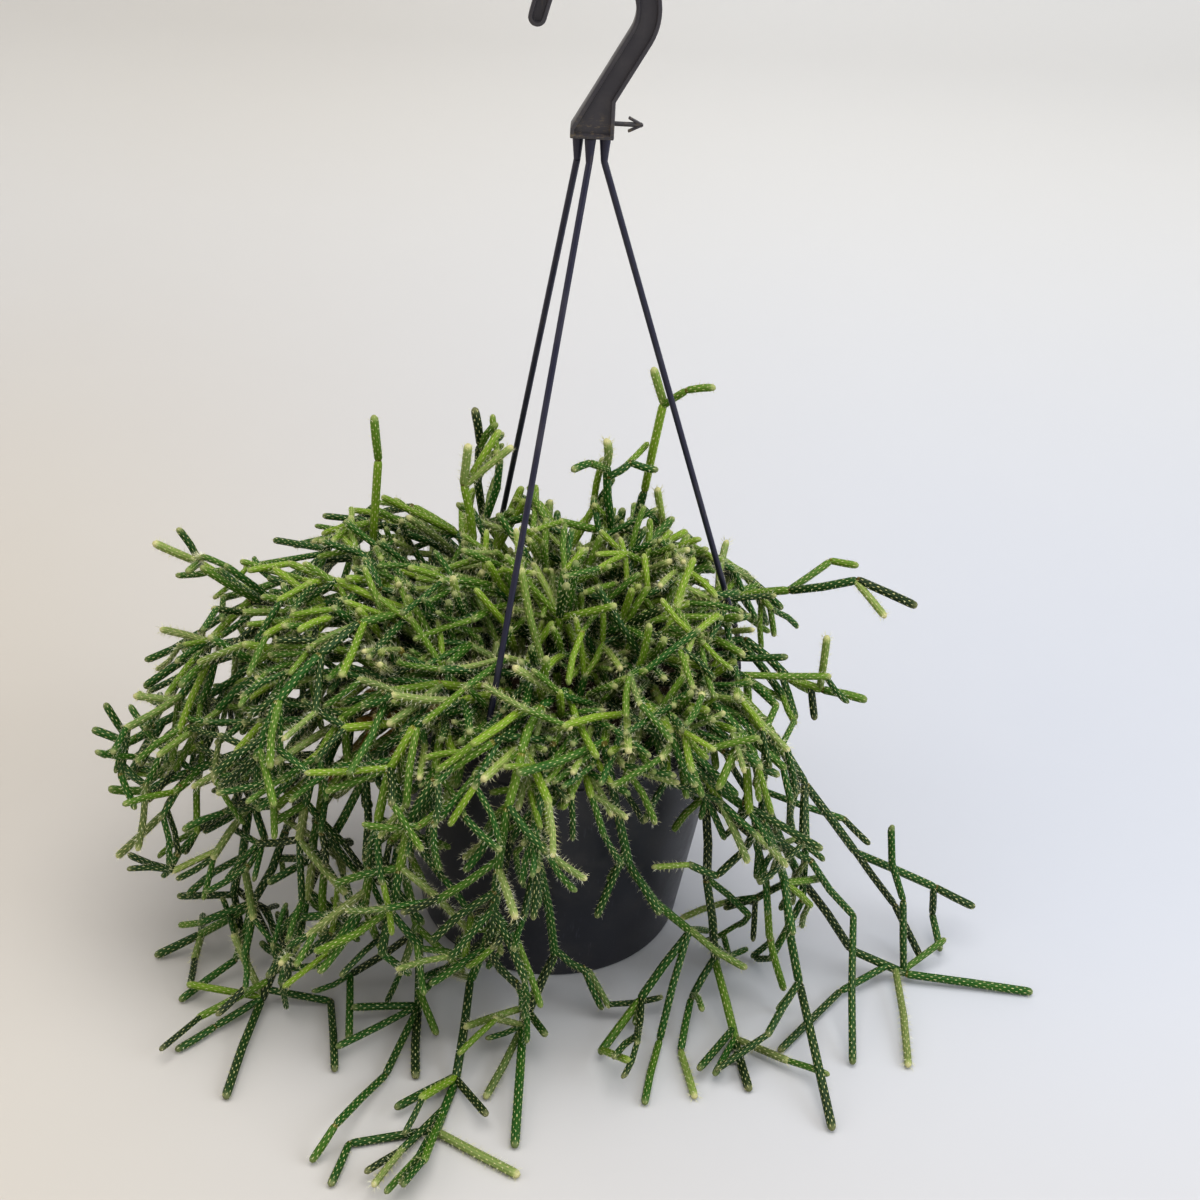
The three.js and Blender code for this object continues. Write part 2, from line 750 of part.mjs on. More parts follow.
// A drawn spray follows its own list of joints
function drawArm(spray, joint, targets) {
  const points = [leavePoint(joint)];
  for (const [x, y, z] of targets) {
    const target = new THREE.Vector3(x, y, z);
    const found = placeStem(spray, points.at(-1), target, sideReach, drawing.armWander, drawing.armTries);
    if (!found) break;
    points.push(found);
  }
  if (points.length > 1) addSide(spray, joint, points, stem.sideRadius, sideReach);
}
function drawSpray({ root, bare = false, main, arms }) {
  const spray = { ...startSpray(root), bare };
  for (const [x, y, z] of main) {
    const wander = spray.joints.length === 0 ? drawing.firstWander : drawing.wander;
    if (!extendMain(spray, new THREE.Vector3(x, y, z), wander, drawing.tries)) break;
  }
  take(spray.main, mainReach, spray);
  for (const [number, ...targets] of arms) {
    if (number < spray.joints.length) drawArm(spray, spray.joints[number], targets);
  }
  return spray;
}

// The whole plant: the straps take their space first, then the drawn stems, then the grown ones
const roots = drawnSprays.map(({ root }) => root);
function freeRoot(kind, heading) {
  for (let k = 0; k < rooting.tries; k += 1) {
    const a = (heading + around(rooting.spread + rooting.widening * k)) * radians;
    const distance = between(kind.ring);
    const point = [distance * Math.cos(a), distance * Math.sin(a)];
    if (roots.every(([x, y]) => Math.hypot(x - point[0], y - point[1]) > rooting.spacing)) return point;
  }
  return null;
}
function growPlant() {
  for (const end of strapEnds) {
    const line = strapLine(end);
    take(line, strap.rodRadius + stem.strapRoom, end);
    take([line[2], line[2]], strap.buttonRadius + strap.buttonRoom, end);
  }
  const drawn = drawnSprays.map(drawSpray);
  const grown = [];
  for (const kind of kinds) {
    for (let k = 0; k < kind.count; k += 1) {
      const heading = kind.fan[0] + ((kind.fan[1] - kind.fan[0]) * (k + 0.5)) / kind.count;
      const root = freeRoot(kind, heading);
      const spray = root && growSpray(root, heading, kind);
      if (!spray) continue;
      roots.push(root);
      grown.push({ kind, spray });
    }
  }
  for (const spray of drawn) {
    if (!spray.bare) branchSpray(spray, spray.joints.slice(1, -1), siding.drawnArms);
  }
  for (const { kind, spray } of grown) branchSpray(spray, spray.joints.slice(1), kind.arms);
  return [...drawn, ...grown.map(({ spray }) => spray)];
}
function makeSpray(spray) {
  const parts = [tube(spray.main, stem.radius, stem.sides)];
  for (const { points, radius } of spray.sides) {
    parts.push(sideStem(points[0], points[1], radius));
    for (let k = 2; k < points.length; k += 1) {
      const way = points[k - 1].clone().sub(points[k - 2]).normalize();
      const from = points[k - 1].clone().addScaledVector(way, -2 * stem.firstStep);
      parts.push(sideStem(from, points[k], radius));
    }
  }
  return join(parts);
}

// Materials
const looks = {
  pot: { color: 0x2b2c31, roughness: 0.55, metalness: 0 },
  soil: { color: 0x2c2118, roughness: 1, metalness: 0 },
  hanger: { color: 0x1d1e2a, roughness: 0.45, metalness: 0 },
  stem: { color: 0x4d6b3a, roughness: 0.6, metalness: 0 },
};
const group = new THREE.Group();
function addMesh(name, body, look) {
  const mesh = new THREE.Mesh(surface(body), new THREE.MeshStandardMaterial(looks[look]));
  mesh.name = name;
  group.add(mesh);
}

const plant = growPlant();
addMesh('pot', makePot(), 'pot');
addMesh('soil', makeSoil(plant.map(({ root }) => root)), 'soil');
addMesh('hanger_hook', makeHook(), 'hanger');
for (const end of strapEnds) addMesh(end.name, makeStrap(end), 'hanger');
plant.forEach((spray, k) => addMesh(`spray_${String(k + 1).padStart(2, '0')}`, makeSpray(spray), 'stem'));

export default group;
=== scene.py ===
# Looks of a hairy-stemmed rhipsalis in a plastic hanging pot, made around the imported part.
# The growth rule works in millimetres, and every mesh is in metres.
import math

import bmesh
import bpy
import numpy as np
from mathutils import Matrix, Vector


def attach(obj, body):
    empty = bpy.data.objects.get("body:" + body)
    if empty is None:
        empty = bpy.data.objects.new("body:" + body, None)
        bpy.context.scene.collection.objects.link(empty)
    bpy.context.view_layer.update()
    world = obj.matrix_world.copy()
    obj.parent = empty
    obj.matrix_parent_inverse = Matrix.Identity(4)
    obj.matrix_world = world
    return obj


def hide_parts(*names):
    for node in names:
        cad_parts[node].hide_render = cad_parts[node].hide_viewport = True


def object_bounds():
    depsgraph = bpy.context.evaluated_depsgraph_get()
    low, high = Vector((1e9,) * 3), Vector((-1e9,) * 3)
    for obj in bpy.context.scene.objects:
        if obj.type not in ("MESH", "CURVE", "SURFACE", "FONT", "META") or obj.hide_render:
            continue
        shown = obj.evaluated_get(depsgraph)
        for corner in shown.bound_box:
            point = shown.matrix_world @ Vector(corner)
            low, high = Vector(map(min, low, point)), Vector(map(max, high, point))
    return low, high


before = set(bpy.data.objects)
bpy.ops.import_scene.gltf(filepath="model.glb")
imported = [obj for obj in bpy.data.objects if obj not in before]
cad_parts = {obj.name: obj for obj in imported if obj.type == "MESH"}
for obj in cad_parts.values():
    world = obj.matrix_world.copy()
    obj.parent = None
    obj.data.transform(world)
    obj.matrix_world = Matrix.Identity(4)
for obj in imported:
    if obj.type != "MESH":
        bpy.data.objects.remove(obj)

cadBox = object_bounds()
mm = 0.001
scene = bpy.context.scene

# Camera at the photograph's angle
cameraSetup = {
    "place": (0.008, -0.710, 0.626),
    "turn": 0.8,  # degrees to the right of straight ahead
    "dip": 32.3,  # degrees below the horizon
    "roll": 3.3,
    "lens": 54.0,
    "sensor": 36.0,
}


def makeCamera():
    turn, dip, roll = (math.radians(cameraSetup[k]) for k in ("turn", "dip", "roll"))
    ahead = Vector((math.sin(turn) * math.cos(dip), math.cos(turn) * math.cos(dip), -math.sin(dip)))
    level = ahead.cross(Vector((0, 0, 1))).normalized()
    above = level.cross(ahead)
    right = level * math.cos(roll) + above * math.sin(roll)
    up = above * math.cos(roll) - level * math.sin(roll)
    data = bpy.data.cameras.new("camera")
    data.lens = cameraSetup["lens"]
    data.sensor_width = cameraSetup["sensor"]
    camera = bpy.data.objects.new("camera", data)
    scene.collection.objects.link(camera)
    facing = Matrix((right, up, -ahead)).transposed().to_4x4()
    camera.matrix_world = Matrix.Translation(cameraSetup["place"]) @ facing
    scene.camera = camera


makeCamera()
print("camera set")

# Sizes that the plant needs, as the part has them
potSize = {
    "baseRadius": 65.5,
    "rimRadius": 85.0,
    "height": 144.5,
    "bandHeight": 16.0,
    "bandLip": 2.0,
    "wall": 1.8,
}
soilSize = {"top": 132.0, "holeDepth": 12.0, "gap": 0.3}
strapSize = {
    "rodRadius": 1.4,
    "coneLength": 10.0,
    "coneRadius": 2.4,
    "buttonRadius": 4.2,
    "buttonThickness": 2.0,
    "seatHeight": 136.5,
    "bendHeight": 150.0,
    "stand": 0.5,
    "hangerX": 4.0,
    "hangerBottom": 397.0,
    "ends": (
        {"node": "strap_left", "angle": 115.0, "top": (-5.6, 1.8)},
        {"node": "strap_front", "angle": 250.0, "top": (-0.6, -2.2)},
        {"node": "strap_right", "angle": 7.0, "top": (5.4, 0.4)},
    ),
}
stemSize = {
    "radius": 2.2,
    "sideRadius": 1.9,
    "tipRadius": 1.6,
    "sides": 4,
    "sideSides": 3,
    "firstRise": 16.0,
    "firstStep": 1.5,
    "nextStep": 4.4,
    "lowest": 3.4,
    "potRoom": 1.2,
    "soilRoom": 0.5,
    "strapRoom": 0.3,
    "buttonRoom": 1.5,
}

# Stems drawn one by one, as in the part: root, joints of the main stem, and side stems by joint number.
# A bare spray gets no side stems from the rule.
drawnSprays = [
    {
        "root": [-40, 25],
        "bare": True,
        "main": [[-86, 28, 155], [-92, 32, 182], [-89, 36, 226], [-91, 38, 248]],
        "arms": [],
    },
    {
        "root": [-25, 45],
        "bare": True,
        "main": [[-39, 50, 160], [-40, 50, 188], [-42, 45, 232], [-45, 45, 251]],
        "arms": [[2, [-34, 38, 247]], [2, [-32, 60, 231]], [2, [-33, 30, 236]]],
    },
    {
        "root": [-45, 8],
        "bare": True,
        "main": [[-43, 20, 166], [-43, 20, 194], [-48, 22, 223], [-46, 24, 243]],
        "arms": [],
    },
    {
        "root": [10, 35],
        "bare": True,
        "main": [[25, 30, 164], [22, 30, 198], [18, 30, 232], [17, 28, 247]],
        "arms": [[2, [10, 15, 241], [2, 5, 242]], [2, [29, 36, 231], [42, 32, 230]]],
    },
    {
        "root": [38, 42],
        "bare": True,
        "main": [[32, 45, 161], [37, 50, 209], [43, 50, 256], [37, 52, 273]],
        "arms": [[2, [53, 44, 266], [66, 42, 269]]],
    },
    {
        "root": [-48, 35],
        "main": [[-83, 70, 151], [-124, 70, 148], [-156, 50, 140], [-180, 45, 159], [-200, 40, 172]],
        "arms": [[3, [-190, 50, 175]]],
    },
    {
        "root": [-58, 5],
        "main": [
            [-102, -10, 176], [-133, -25, 157], [-171, -30, 127],
            [-188, -30, 114], [-202, -30, 103], [-218, -30, 110],
        ],
        "arms": [[4, [-212, -25, 122]], [4, [-212, -40, 102]], [3, [-204, -30, 81]]],
    },
    {
        "root": [-60, 16],
        "main": [[-108, 16, 152], [-150, 20, 154], [-170, 10, 134], [-200, 0, 114]],
        "arms": [[1, [-177, 25, 131], [-204, 20, 116]]],
    },
    {
        "root": [-60, -15],
        "main": [[-112, -40, 146], [-140, -50, 118], [-167, -55, 107], [-186, -55, 95], [-204, -60, 99]],
        "arms": [[2, [-176, -70, 95], [-199, -75, 71]]],
    },
    {
        "root": [-50, -30],
        "main": [
            [-74, -46, 160], [-104, -66, 125], [-123, -61, 80],
            [-140, -69, 40], [-168, -61, 12], [-189, -67, 3],
        ],
        "arms": [[3, [-148, -75, 10], [-171, -96, 3]]],
    },
    {
        "root": [-40, -42],
        "main": [
            [-60, -62, 160], [-84, -78, 125], [-103, -73, 80],
            [-120, -79, 35], [-132, -97, 6], [-138, -154, 3],
        ],
        "arms": [[4, [-151, -112, 4], [-166, -127, 3]], [4, [-100, -92, 4], [-92, -135, 3]]],
    },
    {
        "root": [-30, -50],
        "main": [[-50, -75, 160], [-69, -78, 90], [-59, -82, 40], [-58, -97, 5], [-55, -137, 3]],
        "arms": [[3, [-69, -137, 4], [-86, -175, 12], [-95, -187, 3]], [2, [-92, -81, 10], [-90, -116, 3]]],
    },
    {
        "root": [-15, -58],
        "main": [
            [-14, -90, 158], [-22, -92, 75], [-34, -92, 20],
            [-37, -138, 3], [-43, -167, 3], [-5, -189, 3],
        ],
        "arms": [[4, [-82, -155, 3]], [4, [-80, -176, 3], [-85, -199, 3]]],
    },
    {
        "root": [5, -60],
        "main": [[0, -90, 160], [-4, -92, 95], [5, -88, 35], [-8, -99, 10], [-8, -174, 3]],
        "arms": [[2, [-9, -110, 8], [-23, -147, 3]]],
    },
    {
        "root": [22, -55],
        "main": [[22, -88, 160], [37, -86, 90], [69, -72, 40], [46, -94, 15], [28, -120, 6]],
        "arms": [[2, [56, -108, 4], [49, -146, 3]]],
    },
    {
        "root": [38, -45],
        "main": [
            [31, -73, 165], [60, -81, 148], [96, -73, 110],
            [111, -71, 70], [121, -89, 25], [133, -156, 3],
        ],
        "arms": [
            [2, [89, -77, 95], [77, -84, 85], [63, -88, 95]],
            [2, [102, -68, 70], [107, -70, 35], [116, -78, 10]],
            [2, [123, -58, 75], [149, -50, 35], [146, -116, 3]],
        ],
    },
    {
        "root": [55, -20],
        "main": [
            [82, -37, 155], [100, -49, 140], [118, -46, 110],
            [149, -33, 60], [194, -21, 30], [215, -23, 20],
        ],
        "arms": [
            [3, [173, -30, 25], [187, -47, 6]],
            [4, [195, -21, 12], [198, -38, 4]],
            [2, [121, -58, 50], [110, -60, 12]],
        ],
    },
    {
        "root": [58, -5],
        "main": [
            [88, -20, 152], [100, -36, 95], [121, -49, 55],
            [150, -53, 15], [178, -58, 6], [240, -63, 3],
        ],
        "arms": [
            [4, [175, -37, 35], [165, -29, 75]],
            [4, [172, -116, 3]],
            [4, [144, -71, 5], [112, -110, 3]],
        ],
    },
    {
        "root": [48, -35],
        "main": [
            [62, -62, 160], [70, -68, 115], [74, -70, 70],
            [82, -70, 20], [92, -106, 4], [97, -135, 3],
        ],
        "arms": [[3, [71, -85, 8], [66, -113, 3], [72, -141, 3]], [2, [50, -76, 40], [32, -90, 10]]],
    },
    {
        "root": [50, 22],
        "main": [[77, 35, 158], [110, 30, 169], [140, 20, 183], [168, 10, 176]],
        "arms": [[2, [153, 5, 172]], [1, [130, 45, 178], [143, 40, 179]]],
    },
    {
        "root": [60, 5],
        "main": [[88, 5, 156], [110, -5, 141], [126, -8, 138], [147, -12, 136]],
        "arms": [[2, [125, -5, 167]], [2, [123, -15, 125]]],
    },
]

# Stems grown by the part's rule: how many, which way and how far out they root, and how they bend.
# Fans, pitches and bends are in degrees, rings and steps in millimetres.
growthSeed = 1
kinds = (
    {"count": 6, "fan": (0, 360), "ring": (4, 36), "joints": 3, "step": (15, 24), "pitch": (58, 88),
     "bend": 10, "arms": 6},
    {"count": 5, "fan": (-60, 75), "ring": (24, 62), "joints": 3, "step": (16, 27), "pitch": (58, 82),
     "bend": 12, "arms": 8},
    {"count": 5, "fan": (145, 215), "ring": (30, 66), "joints": 6, "step": (22, 33), "pitch": (42, 62),
     "bend": 22, "arms": 7},
    {"count": 7, "fan": (178, 256), "ring": (46, 67), "joints": 7, "step": (20, 31), "pitch": (30, 50),
     "bend": 30, "arms": 7},
    {"count": 3, "fan": (62, 140), "ring": (40, 66), "joints": 5, "step": (20, 31), "pitch": (42, 62),
     "bend": 24, "arms": 5},
    {"count": 4, "fan": (-32, 62), "ring": (36, 66), "joints": 4, "step": (20, 28), "pitch": (45, 66),
     "bend": 26, "arms": 6},
    {"count": 3, "fan": (258, 330), "ring": (26, 60), "joints": 3, "step": (16, 26), "pitch": (30, 55),
     "bend": 24, "arms": 5},
)
rooting = {"spacing": 9.5, "tries": 60, "spread": 30, "widening": 3}
growth = {
    "attempts": 5,
    "turn": 24,
    "turnWidening": 18,
    "lean": 20,
    "steepest": -80,
    "bendPart": (0.7, 1.3),
    "wander": 8,
    "tries": 4,
    "ground": 12,
    "fewestJoints": 2,
}
whorl = {"angle": (32, 58), "length": (16, 34), "lift": 0.18}
tips = {"angle": (25, 50), "length": (12, 24), "lift": 0, "chance": 0.45}
siding = {"tries": 6, "wander": 2, "groundLift": 0.2, "drawnArms": 4}
dome = {
    "top": 214,
    "fallLeft": 0.0011,
    "fallRight": 0.0047,
    "fallDepth": 0.0042,
    "left": -198,
    "right": 124,
    "back": 105,
}
drawing = {"firstWander": 40, "wander": 14, "tries": 40, "armWander": 12, "armTries": 16}


# One repeatable series of random numbers
class Series:
    def __init__(self, seed):
        self.state = seed

    def draw(self):
        self.state = (1664525 * self.state + 1013904223) & 0xFFFFFFFF
        return self.state / 2**32

    def between(self, limits):
        return limits[0] + (limits[1] - limits[0]) * self.draw()

    def around(self, width):
        return (self.draw() - 0.5) * width


series = Series(growthSeed)


# Points as plain triples, so that the rule lands where the part's solids are
def lerp(a, b, t):
    return (a[0] + (b[0] - a[0]) * t, a[1] + (b[1] - a[1]) * t, a[2] + (b[2] - a[2]) * t)


def shifted(a, way, amount):
    return (a[0] + way[0] * amount, a[1] + way[1] * amount, a[2] + way[2] * amount)


def distance(a, b):
    return math.sqrt((a[0] - b[0]) ** 2 + (a[1] - b[1]) ** 2 + (a[2] - b[2]) ** 2)


def unit(a):
    inverse = 1 / (math.sqrt(a[0] * a[0] + a[1] * a[1] + a[2] * a[2]) or 1)
    return (a[0] * inverse, a[1] * inverse, a[2] * inverse)


def heading(a, b):
    return unit((b[0] - a[0], b[1] - a[1], b[2] - a[2]))


def cross(a, b):
    return (a[1] * b[2] - a[2] * b[1], a[2] * b[0] - a[0] * b[2], a[0] * b[1] - a[1] * b[0])


def cornerReach(sides):
    return math.sqrt((2 * math.pi) / (sides * math.sin((2 * math.pi) / sides)))


mainReach = stemSize["radius"] * cornerReach(stemSize["sides"])
sideReach = stemSize["sideRadius"] * cornerReach(stemSize["sideSides"])
tipReach = stemSize["tipRadius"] * cornerReach(stemSize["sideSides"])

# The pot's profile
bandBottom = potSize["height"] - potSize["bandHeight"]
wallTopRadius = potSize["rimRadius"] - potSize["bandLip"]


def wallRadius(z):
    return potSize["baseRadius"] + (wallTopRadius - potSize["baseRadius"]) * (z / bandBottom)


def outerRadius(z):
    return potSize["rimRadius"] if z > bandBottom else wallRadius(z)


def innerRadius(z):
    return wallRadius(z) - potSize["wall"]


def strapLine(end):
    out = potSize["rimRadius"] + strapSize["stand"] + strapSize["rodRadius"]
    a = math.radians(end["angle"])
    x, y = out * math.cos(a), out * math.sin(a)
    top = strapSize["hangerBottom"] - soilSize["gap"] - strapSize["coneLength"]
    return [
        (strapSize["hangerX"] + end["top"][0], end["top"][1], top),
        (x, y, strapSize["bendHeight"]),
        (x, y, strapSize["seatHeight"]),
    ]


# Space already taken, as points spread over a grid of cells
grid = {"cell": 7, "sample": 3, "gap": 0.3}
takenCells = {}


def cellOf(p):
    cell = grid["cell"]
    return math.floor(p[0] / cell), math.floor(p[1] / cell), math.floor(p[2] / cell)


def along(points):
    found = []
    for k in range(len(points) - 1):
        start, end = points[k], points[k + 1]
        count = max(1, math.ceil(distance(start, end) / grid["sample"]))
        for j in range(0 if k == 0 else 1, count + 1):
            found.append(lerp(start, end, j / count))
    return found


def take(points, reach, owner):
    for p in along(points):
        takenCells.setdefault(cellOf(p), []).append((p[0], p[1], p[2], reach, owner))


def clearOfPot(p, reach):
    room = reach + stemSize["potRoom"]
    if p[2] > potSize["height"] + room:
        return True
    out = math.hypot(p[0], p[1])
    if p[2] > bandBottom - room and out > potSize["rimRadius"] + room:
        return True
    if p[2] <= bandBottom - room and out > outerRadius(p[2]) + room:
        return True
    inside = out < innerRadius(soilSize["top"]) - room
    return inside and p[2] > soilSize["top"] + reach + stemSize["soilRoom"]


def clearOfStems(p, reach, owner, gap, slack):
    cx, cy, cz = cellOf(p)
    x, y, z = p
    for ix in (cx - 1, cx, cx + 1):
        for iy in (cy - 1, cy, cy + 1):
            for iz in (cz - 1, cz, cz + 1):
                for ox, oy, oz, otherReach, other in takenCells.get((ix, iy, iz), ()):
                    if other is owner:
                        continue
                    need = reach + otherReach + gap
                    if (x - ox) ** 2 + (y - oy) ** 2 + (z - oz) ** 2 < need * need + slack:
                        return False
    return True


def isClear(points, reach, owner, gap=grid["gap"], slack=grid["sample"] ** 2 / 2):
    for p in along(points):
        if p[2] <= stemSize["lowest"] - 0.01:
            return False
        if not clearOfPot(p, reach) or not clearOfStems(p, reach, owner, gap, slack):
            return False
    return True


def underDome(p):
    x, y, z = p
    fall = (dome["fallLeft"] if x < 0 else dome["fallRight"]) * x * x + dome["fallDepth"] * y * y
    return z < dome["top"] - fall and dome["left"] < x < dome["right"] and y < dome["back"]


def placeStem(spray, start, target, reach, wander, tries, domed=False):
    for k in range(tries):
        spread = (wander * k) / tries
        x, y, z = series.around(spread), series.around(spread), series.around(spread)
        end = (target[0] + x, target[1] + y, max(target[2] + z, stemSize["lowest"]))
        if domed and not underDome(end):
            continue
        if isClear([start, end], reach, spray):
            return end
    return None


def jointAt(point, start):
    return {"point": point, "heading": heading(start, point), "carried": 0}


# The main stem of a spray rises from its hole in the soil and then goes from joint to joint
def startSpray(root):
    x, y = root
    foot = (x, y, soilSize["top"] - soilSize["holeDepth"] + soilSize["gap"])
    head = (x, y, soilSize["top"] + stemSize["firstRise"])
    return {"root": root, "main": [foot, head], "joints": [], "sides": []}


def extendMain(spray, target, wander, tries, domed=False):
    start = spray["main"][-1]
    found = placeStem(spray, start, target, mainReach, wander, tries, domed)
    if found is None:
        return False
    spray["main"].append(found)
    spray["joints"].append(jointAt(found, start))
    return True


def direction(azimuth, pitch):
    a, b = math.radians(azimuth), math.radians(pitch)
    return (math.cos(b) * math.cos(a), math.cos(b) * math.sin(a), math.sin(b))


def growSpray(root, firstHeading, kind):
    spray = startSpray(root)
    pitch = series.between(kind["pitch"])
    azimuth = firstHeading
    for k in range(kind["joints"]):
        start = spray["main"][-1]
        grown = False
        attempt = 0
        while attempt < growth["attempts"] and not grown:
            turn = azimuth + series.around(growth["turn"] + growth["turnWidening"] * attempt)
            lean = max(pitch + series.around(growth["lean"]), growth["steepest"])
            target = shifted(start, direction(turn, lean), series.between(kind["step"]))
            grown = extendMain(spray, target, growth["wander"], growth["tries"], True)
            if grown:
                azimuth = turn
            attempt += 1
        if not grown:
            break
        pitch -= kind["bend"] * series.between(growth["bendPart"])
        if spray["main"][-1][2] < growth["ground"]:
            pitch = 0
    if len(spray["joints"]) < growth["fewestJoints"]:
        return None
    take(spray["main"], mainReach, spray)
    return spray


# Side stems leave a joint in a ring, each a little lower down than the one before
def leavePoint(joint):
    back = -stemSize["firstStep"] - stemSize["nextStep"] * joint["carried"]
    x, y, z = shifted(joint["point"], joint["heading"], back)
    return (x, y, max(z, stemSize["lowest"]))


def addSide(spray, joint, points, radius, reach):
    take(points, reach, spray)
    spray["sides"].append({"points": points, "radius": radius})
    joint["carried"] += 1


def leaning(joint, roll, angle, lift, groundLift):
    # the way a side stem takes: at an angle to its joint's own way, and nearly flat on the ground
    ahead = joint["heading"]
    across = (0, 0, 1) if abs(ahead[2]) < 0.9 else (1, 0, 0)
    first = unit(cross(across, ahead))
    second = cross(ahead, first)
    c, s = math.cos(roll), math.sin(roll)
    side = [first[k] * c + second[k] * s for k in range(3)]
    c, s = math.cos(angle), math.sin(angle)
    x, y, z = (ahead[k] * c + side[k] * s for k in range(3))
    z += lift
    if joint["point"][2] < growth["ground"]:
        z = abs(z) * groundLift
    return unit((x, y, z))


def growSide(spray, joint, radius, reach, shape):
    start = leavePoint(joint)
    for k in range(siding["tries"]):
        angle = math.radians(series.between(shape["angle"]))
        length = series.between(shape["length"])
        way = leaning(joint, 2 * math.pi * series.draw(), angle, shape["lift"], siding["groundLift"])
        target = shifted(joint["point"], way, length)
        found = placeStem(spray, start, target, reach, siding["wander"], 1, True)
        if found is None:
            continue
        addSide(spray, joint, [start, found], radius, reach)
        return jointAt(found, start)
    return None


def branchSpray(spray, joints, count):
    for k in range(count):
        if not joints:
            return
        pick = len(joints) - 1 if k == 0 else math.floor(series.draw() * len(joints))
        grown = growSide(spray, joints[pick], stemSize["sideRadius"], sideReach, whorl)
        if grown and series.draw() < tips["chance"]:
            growSide(spray, grown, stemSize["tipRadius"], tipReach, tips)
            growSide(spray, grown, stemSize["tipRadius"], tipReach, tips)


# A drawn spray follows its own list of joints
def drawArm(spray, joint, targets):
    points = [leavePoint(joint)]
    for target in targets:
        found = placeStem(spray, points[-1], target, sideReach, drawing["armWander"], drawing["armTries"])
        if found is None:
            break
        points.append(found)
    if len(points) > 1:
        addSide(spray, joint, points, stemSize["sideRadius"], sideReach)


def drawSpray(drawn):
    spray = startSpray(drawn["root"])
    for target in drawn["main"]:
        wander = drawing["wander"] if spray["joints"] else drawing["firstWander"]
        if not extendMain(spray, target, wander, drawing["tries"]):
            break
    take(spray["main"], mainReach, spray)
    for number, *targets in drawn["arms"]:
        if number < len(spray["joints"]):
            drawArm(spray, spray["joints"][number], targets)
    return spray


roots = [drawn["root"] for drawn in drawnSprays]


def freeRoot(kind, azimuth):
    for k in range(rooting["tries"]):
        a = math.radians(azimuth + series.around(rooting["spread"] + rooting["widening"] * k))
        out = series.between(kind["ring"])
        point = (out * math.cos(a), out * math.sin(a))
        if all(math.hypot(x - point[0], y - point[1]) > rooting["spacing"] for x, y in roots):
            return point
    return None


def growPlant():
    for end in strapSize["ends"]:
        line = strapLine(end)
        take(line, strapSize["rodRadius"] + stemSize["strapRoom"], end)
        take([line[2], line[2]], strapSize["buttonRadius"] + stemSize["buttonRoom"], end)
    drawn = [drawSpray(one) for one in drawnSprays]
    grown = []
    for kind in kinds:
        for k in range(kind["count"]):
            low, high = kind["fan"]
            azimuth = low + ((high - low) * (k + 0.5)) / kind["count"]
            root = freeRoot(kind, azimuth)
            spray = growSpray(root, azimuth, kind) if root else None
            if spray is None:
                continue
            roots.append(root)
            grown.append((kind, spray))
    for one, spray in zip(drawnSprays, drawn):
        if not one.get("bare"):
            branchSpray(spray, spray["joints"][1:-1], siding["drawnArms"])
    for kind, spray in grown:
        branchSpray(spray, spray["joints"][1:], kind["arms"])
    return drawn + [spray for kind, spray in grown]


sprays = growPlant()
print("plant grown:", len(sprays), "sprays")

# Finer stems that the part's solids leave out, grown on the same plant and into the room that is left
filling = {
    "seed": 5,
    "closeness": 0.68,  # share of the full distance kept between stems
    "skip": 4.5,  # no test this near to its own joint
    "mound": 125.0,  # above this height, and this near to the middle, more stems are tried
    "moundOut": 105.0,
    "side": {"angle": (28, 70), "length": (26, 46), "tries": 8},
    "tip": {"angle": (22, 60), "length": (16, 30), "tries": 6},
    "sideRadius": (1.6, 2.0),
    "tipRadius": (1.35, 1.7),
    "moundCount": (4, 2, 1),  # tried at a joint of the first, second and third order
    "hangCount": (3, 2, 1),
    "moundChance": (0.85, 0.5, 0.25),
    "hangChance": (0.6, 0.45, 0.2),
    "floorHeight": 45.0,  # below this height each chance is smaller
    "floorChance": 0.45,
    "moundLift": 0.0,
    "hangLift": -0.15,
    "groundLift": 0.25,
    "orders": 3,
    "stemRoom": -0.9,
    "potRoom": -0.6,
    "floorRoom": 0.4,
    "least": 2.6,  # height of a stem that lies on the floor
    "footRise": 2.5,  # how far above the soil a shoot starts
}
# Short shoots that rise from the soil between the sprays
shooting = {
    "count": 100,
    "ring": 74.0,
    "top": 168.0,
    "lean": 0.5,
    "leanOut": 70.0,
    "joints": 3,
    "step": {"angle": (14, 54), "length": (18, 34), "tries": 6},
}
# Shoots that fall over the front of the rim, and the part of the pot that they leave in sight
falling = {
    "count": 46,
    "fan": (205, 330),
    "ring": (54, 72),
    "out": 108.0,
    "foot": 84.0,
    "top": 166.0,
    "lean": 0.4,
    "droop": 0.2,
    "rise": {"angle": (0, 20), "length": (20, 27), "tries": 6, "lift": 0.0},
    "step": {"angle": (6, 42), "length": (18, 34), "tries": 8, "lift": -0.5},
    "openFan": (268, 288),
    "openTop": 88.0,
    "openOut": 120.0,
}
fillSeries = Series(filling["seed"])
crowd = {"cell": 5.0, "reach": 20.0, "least": 12, "hug": 9.5, "border": 30.0}


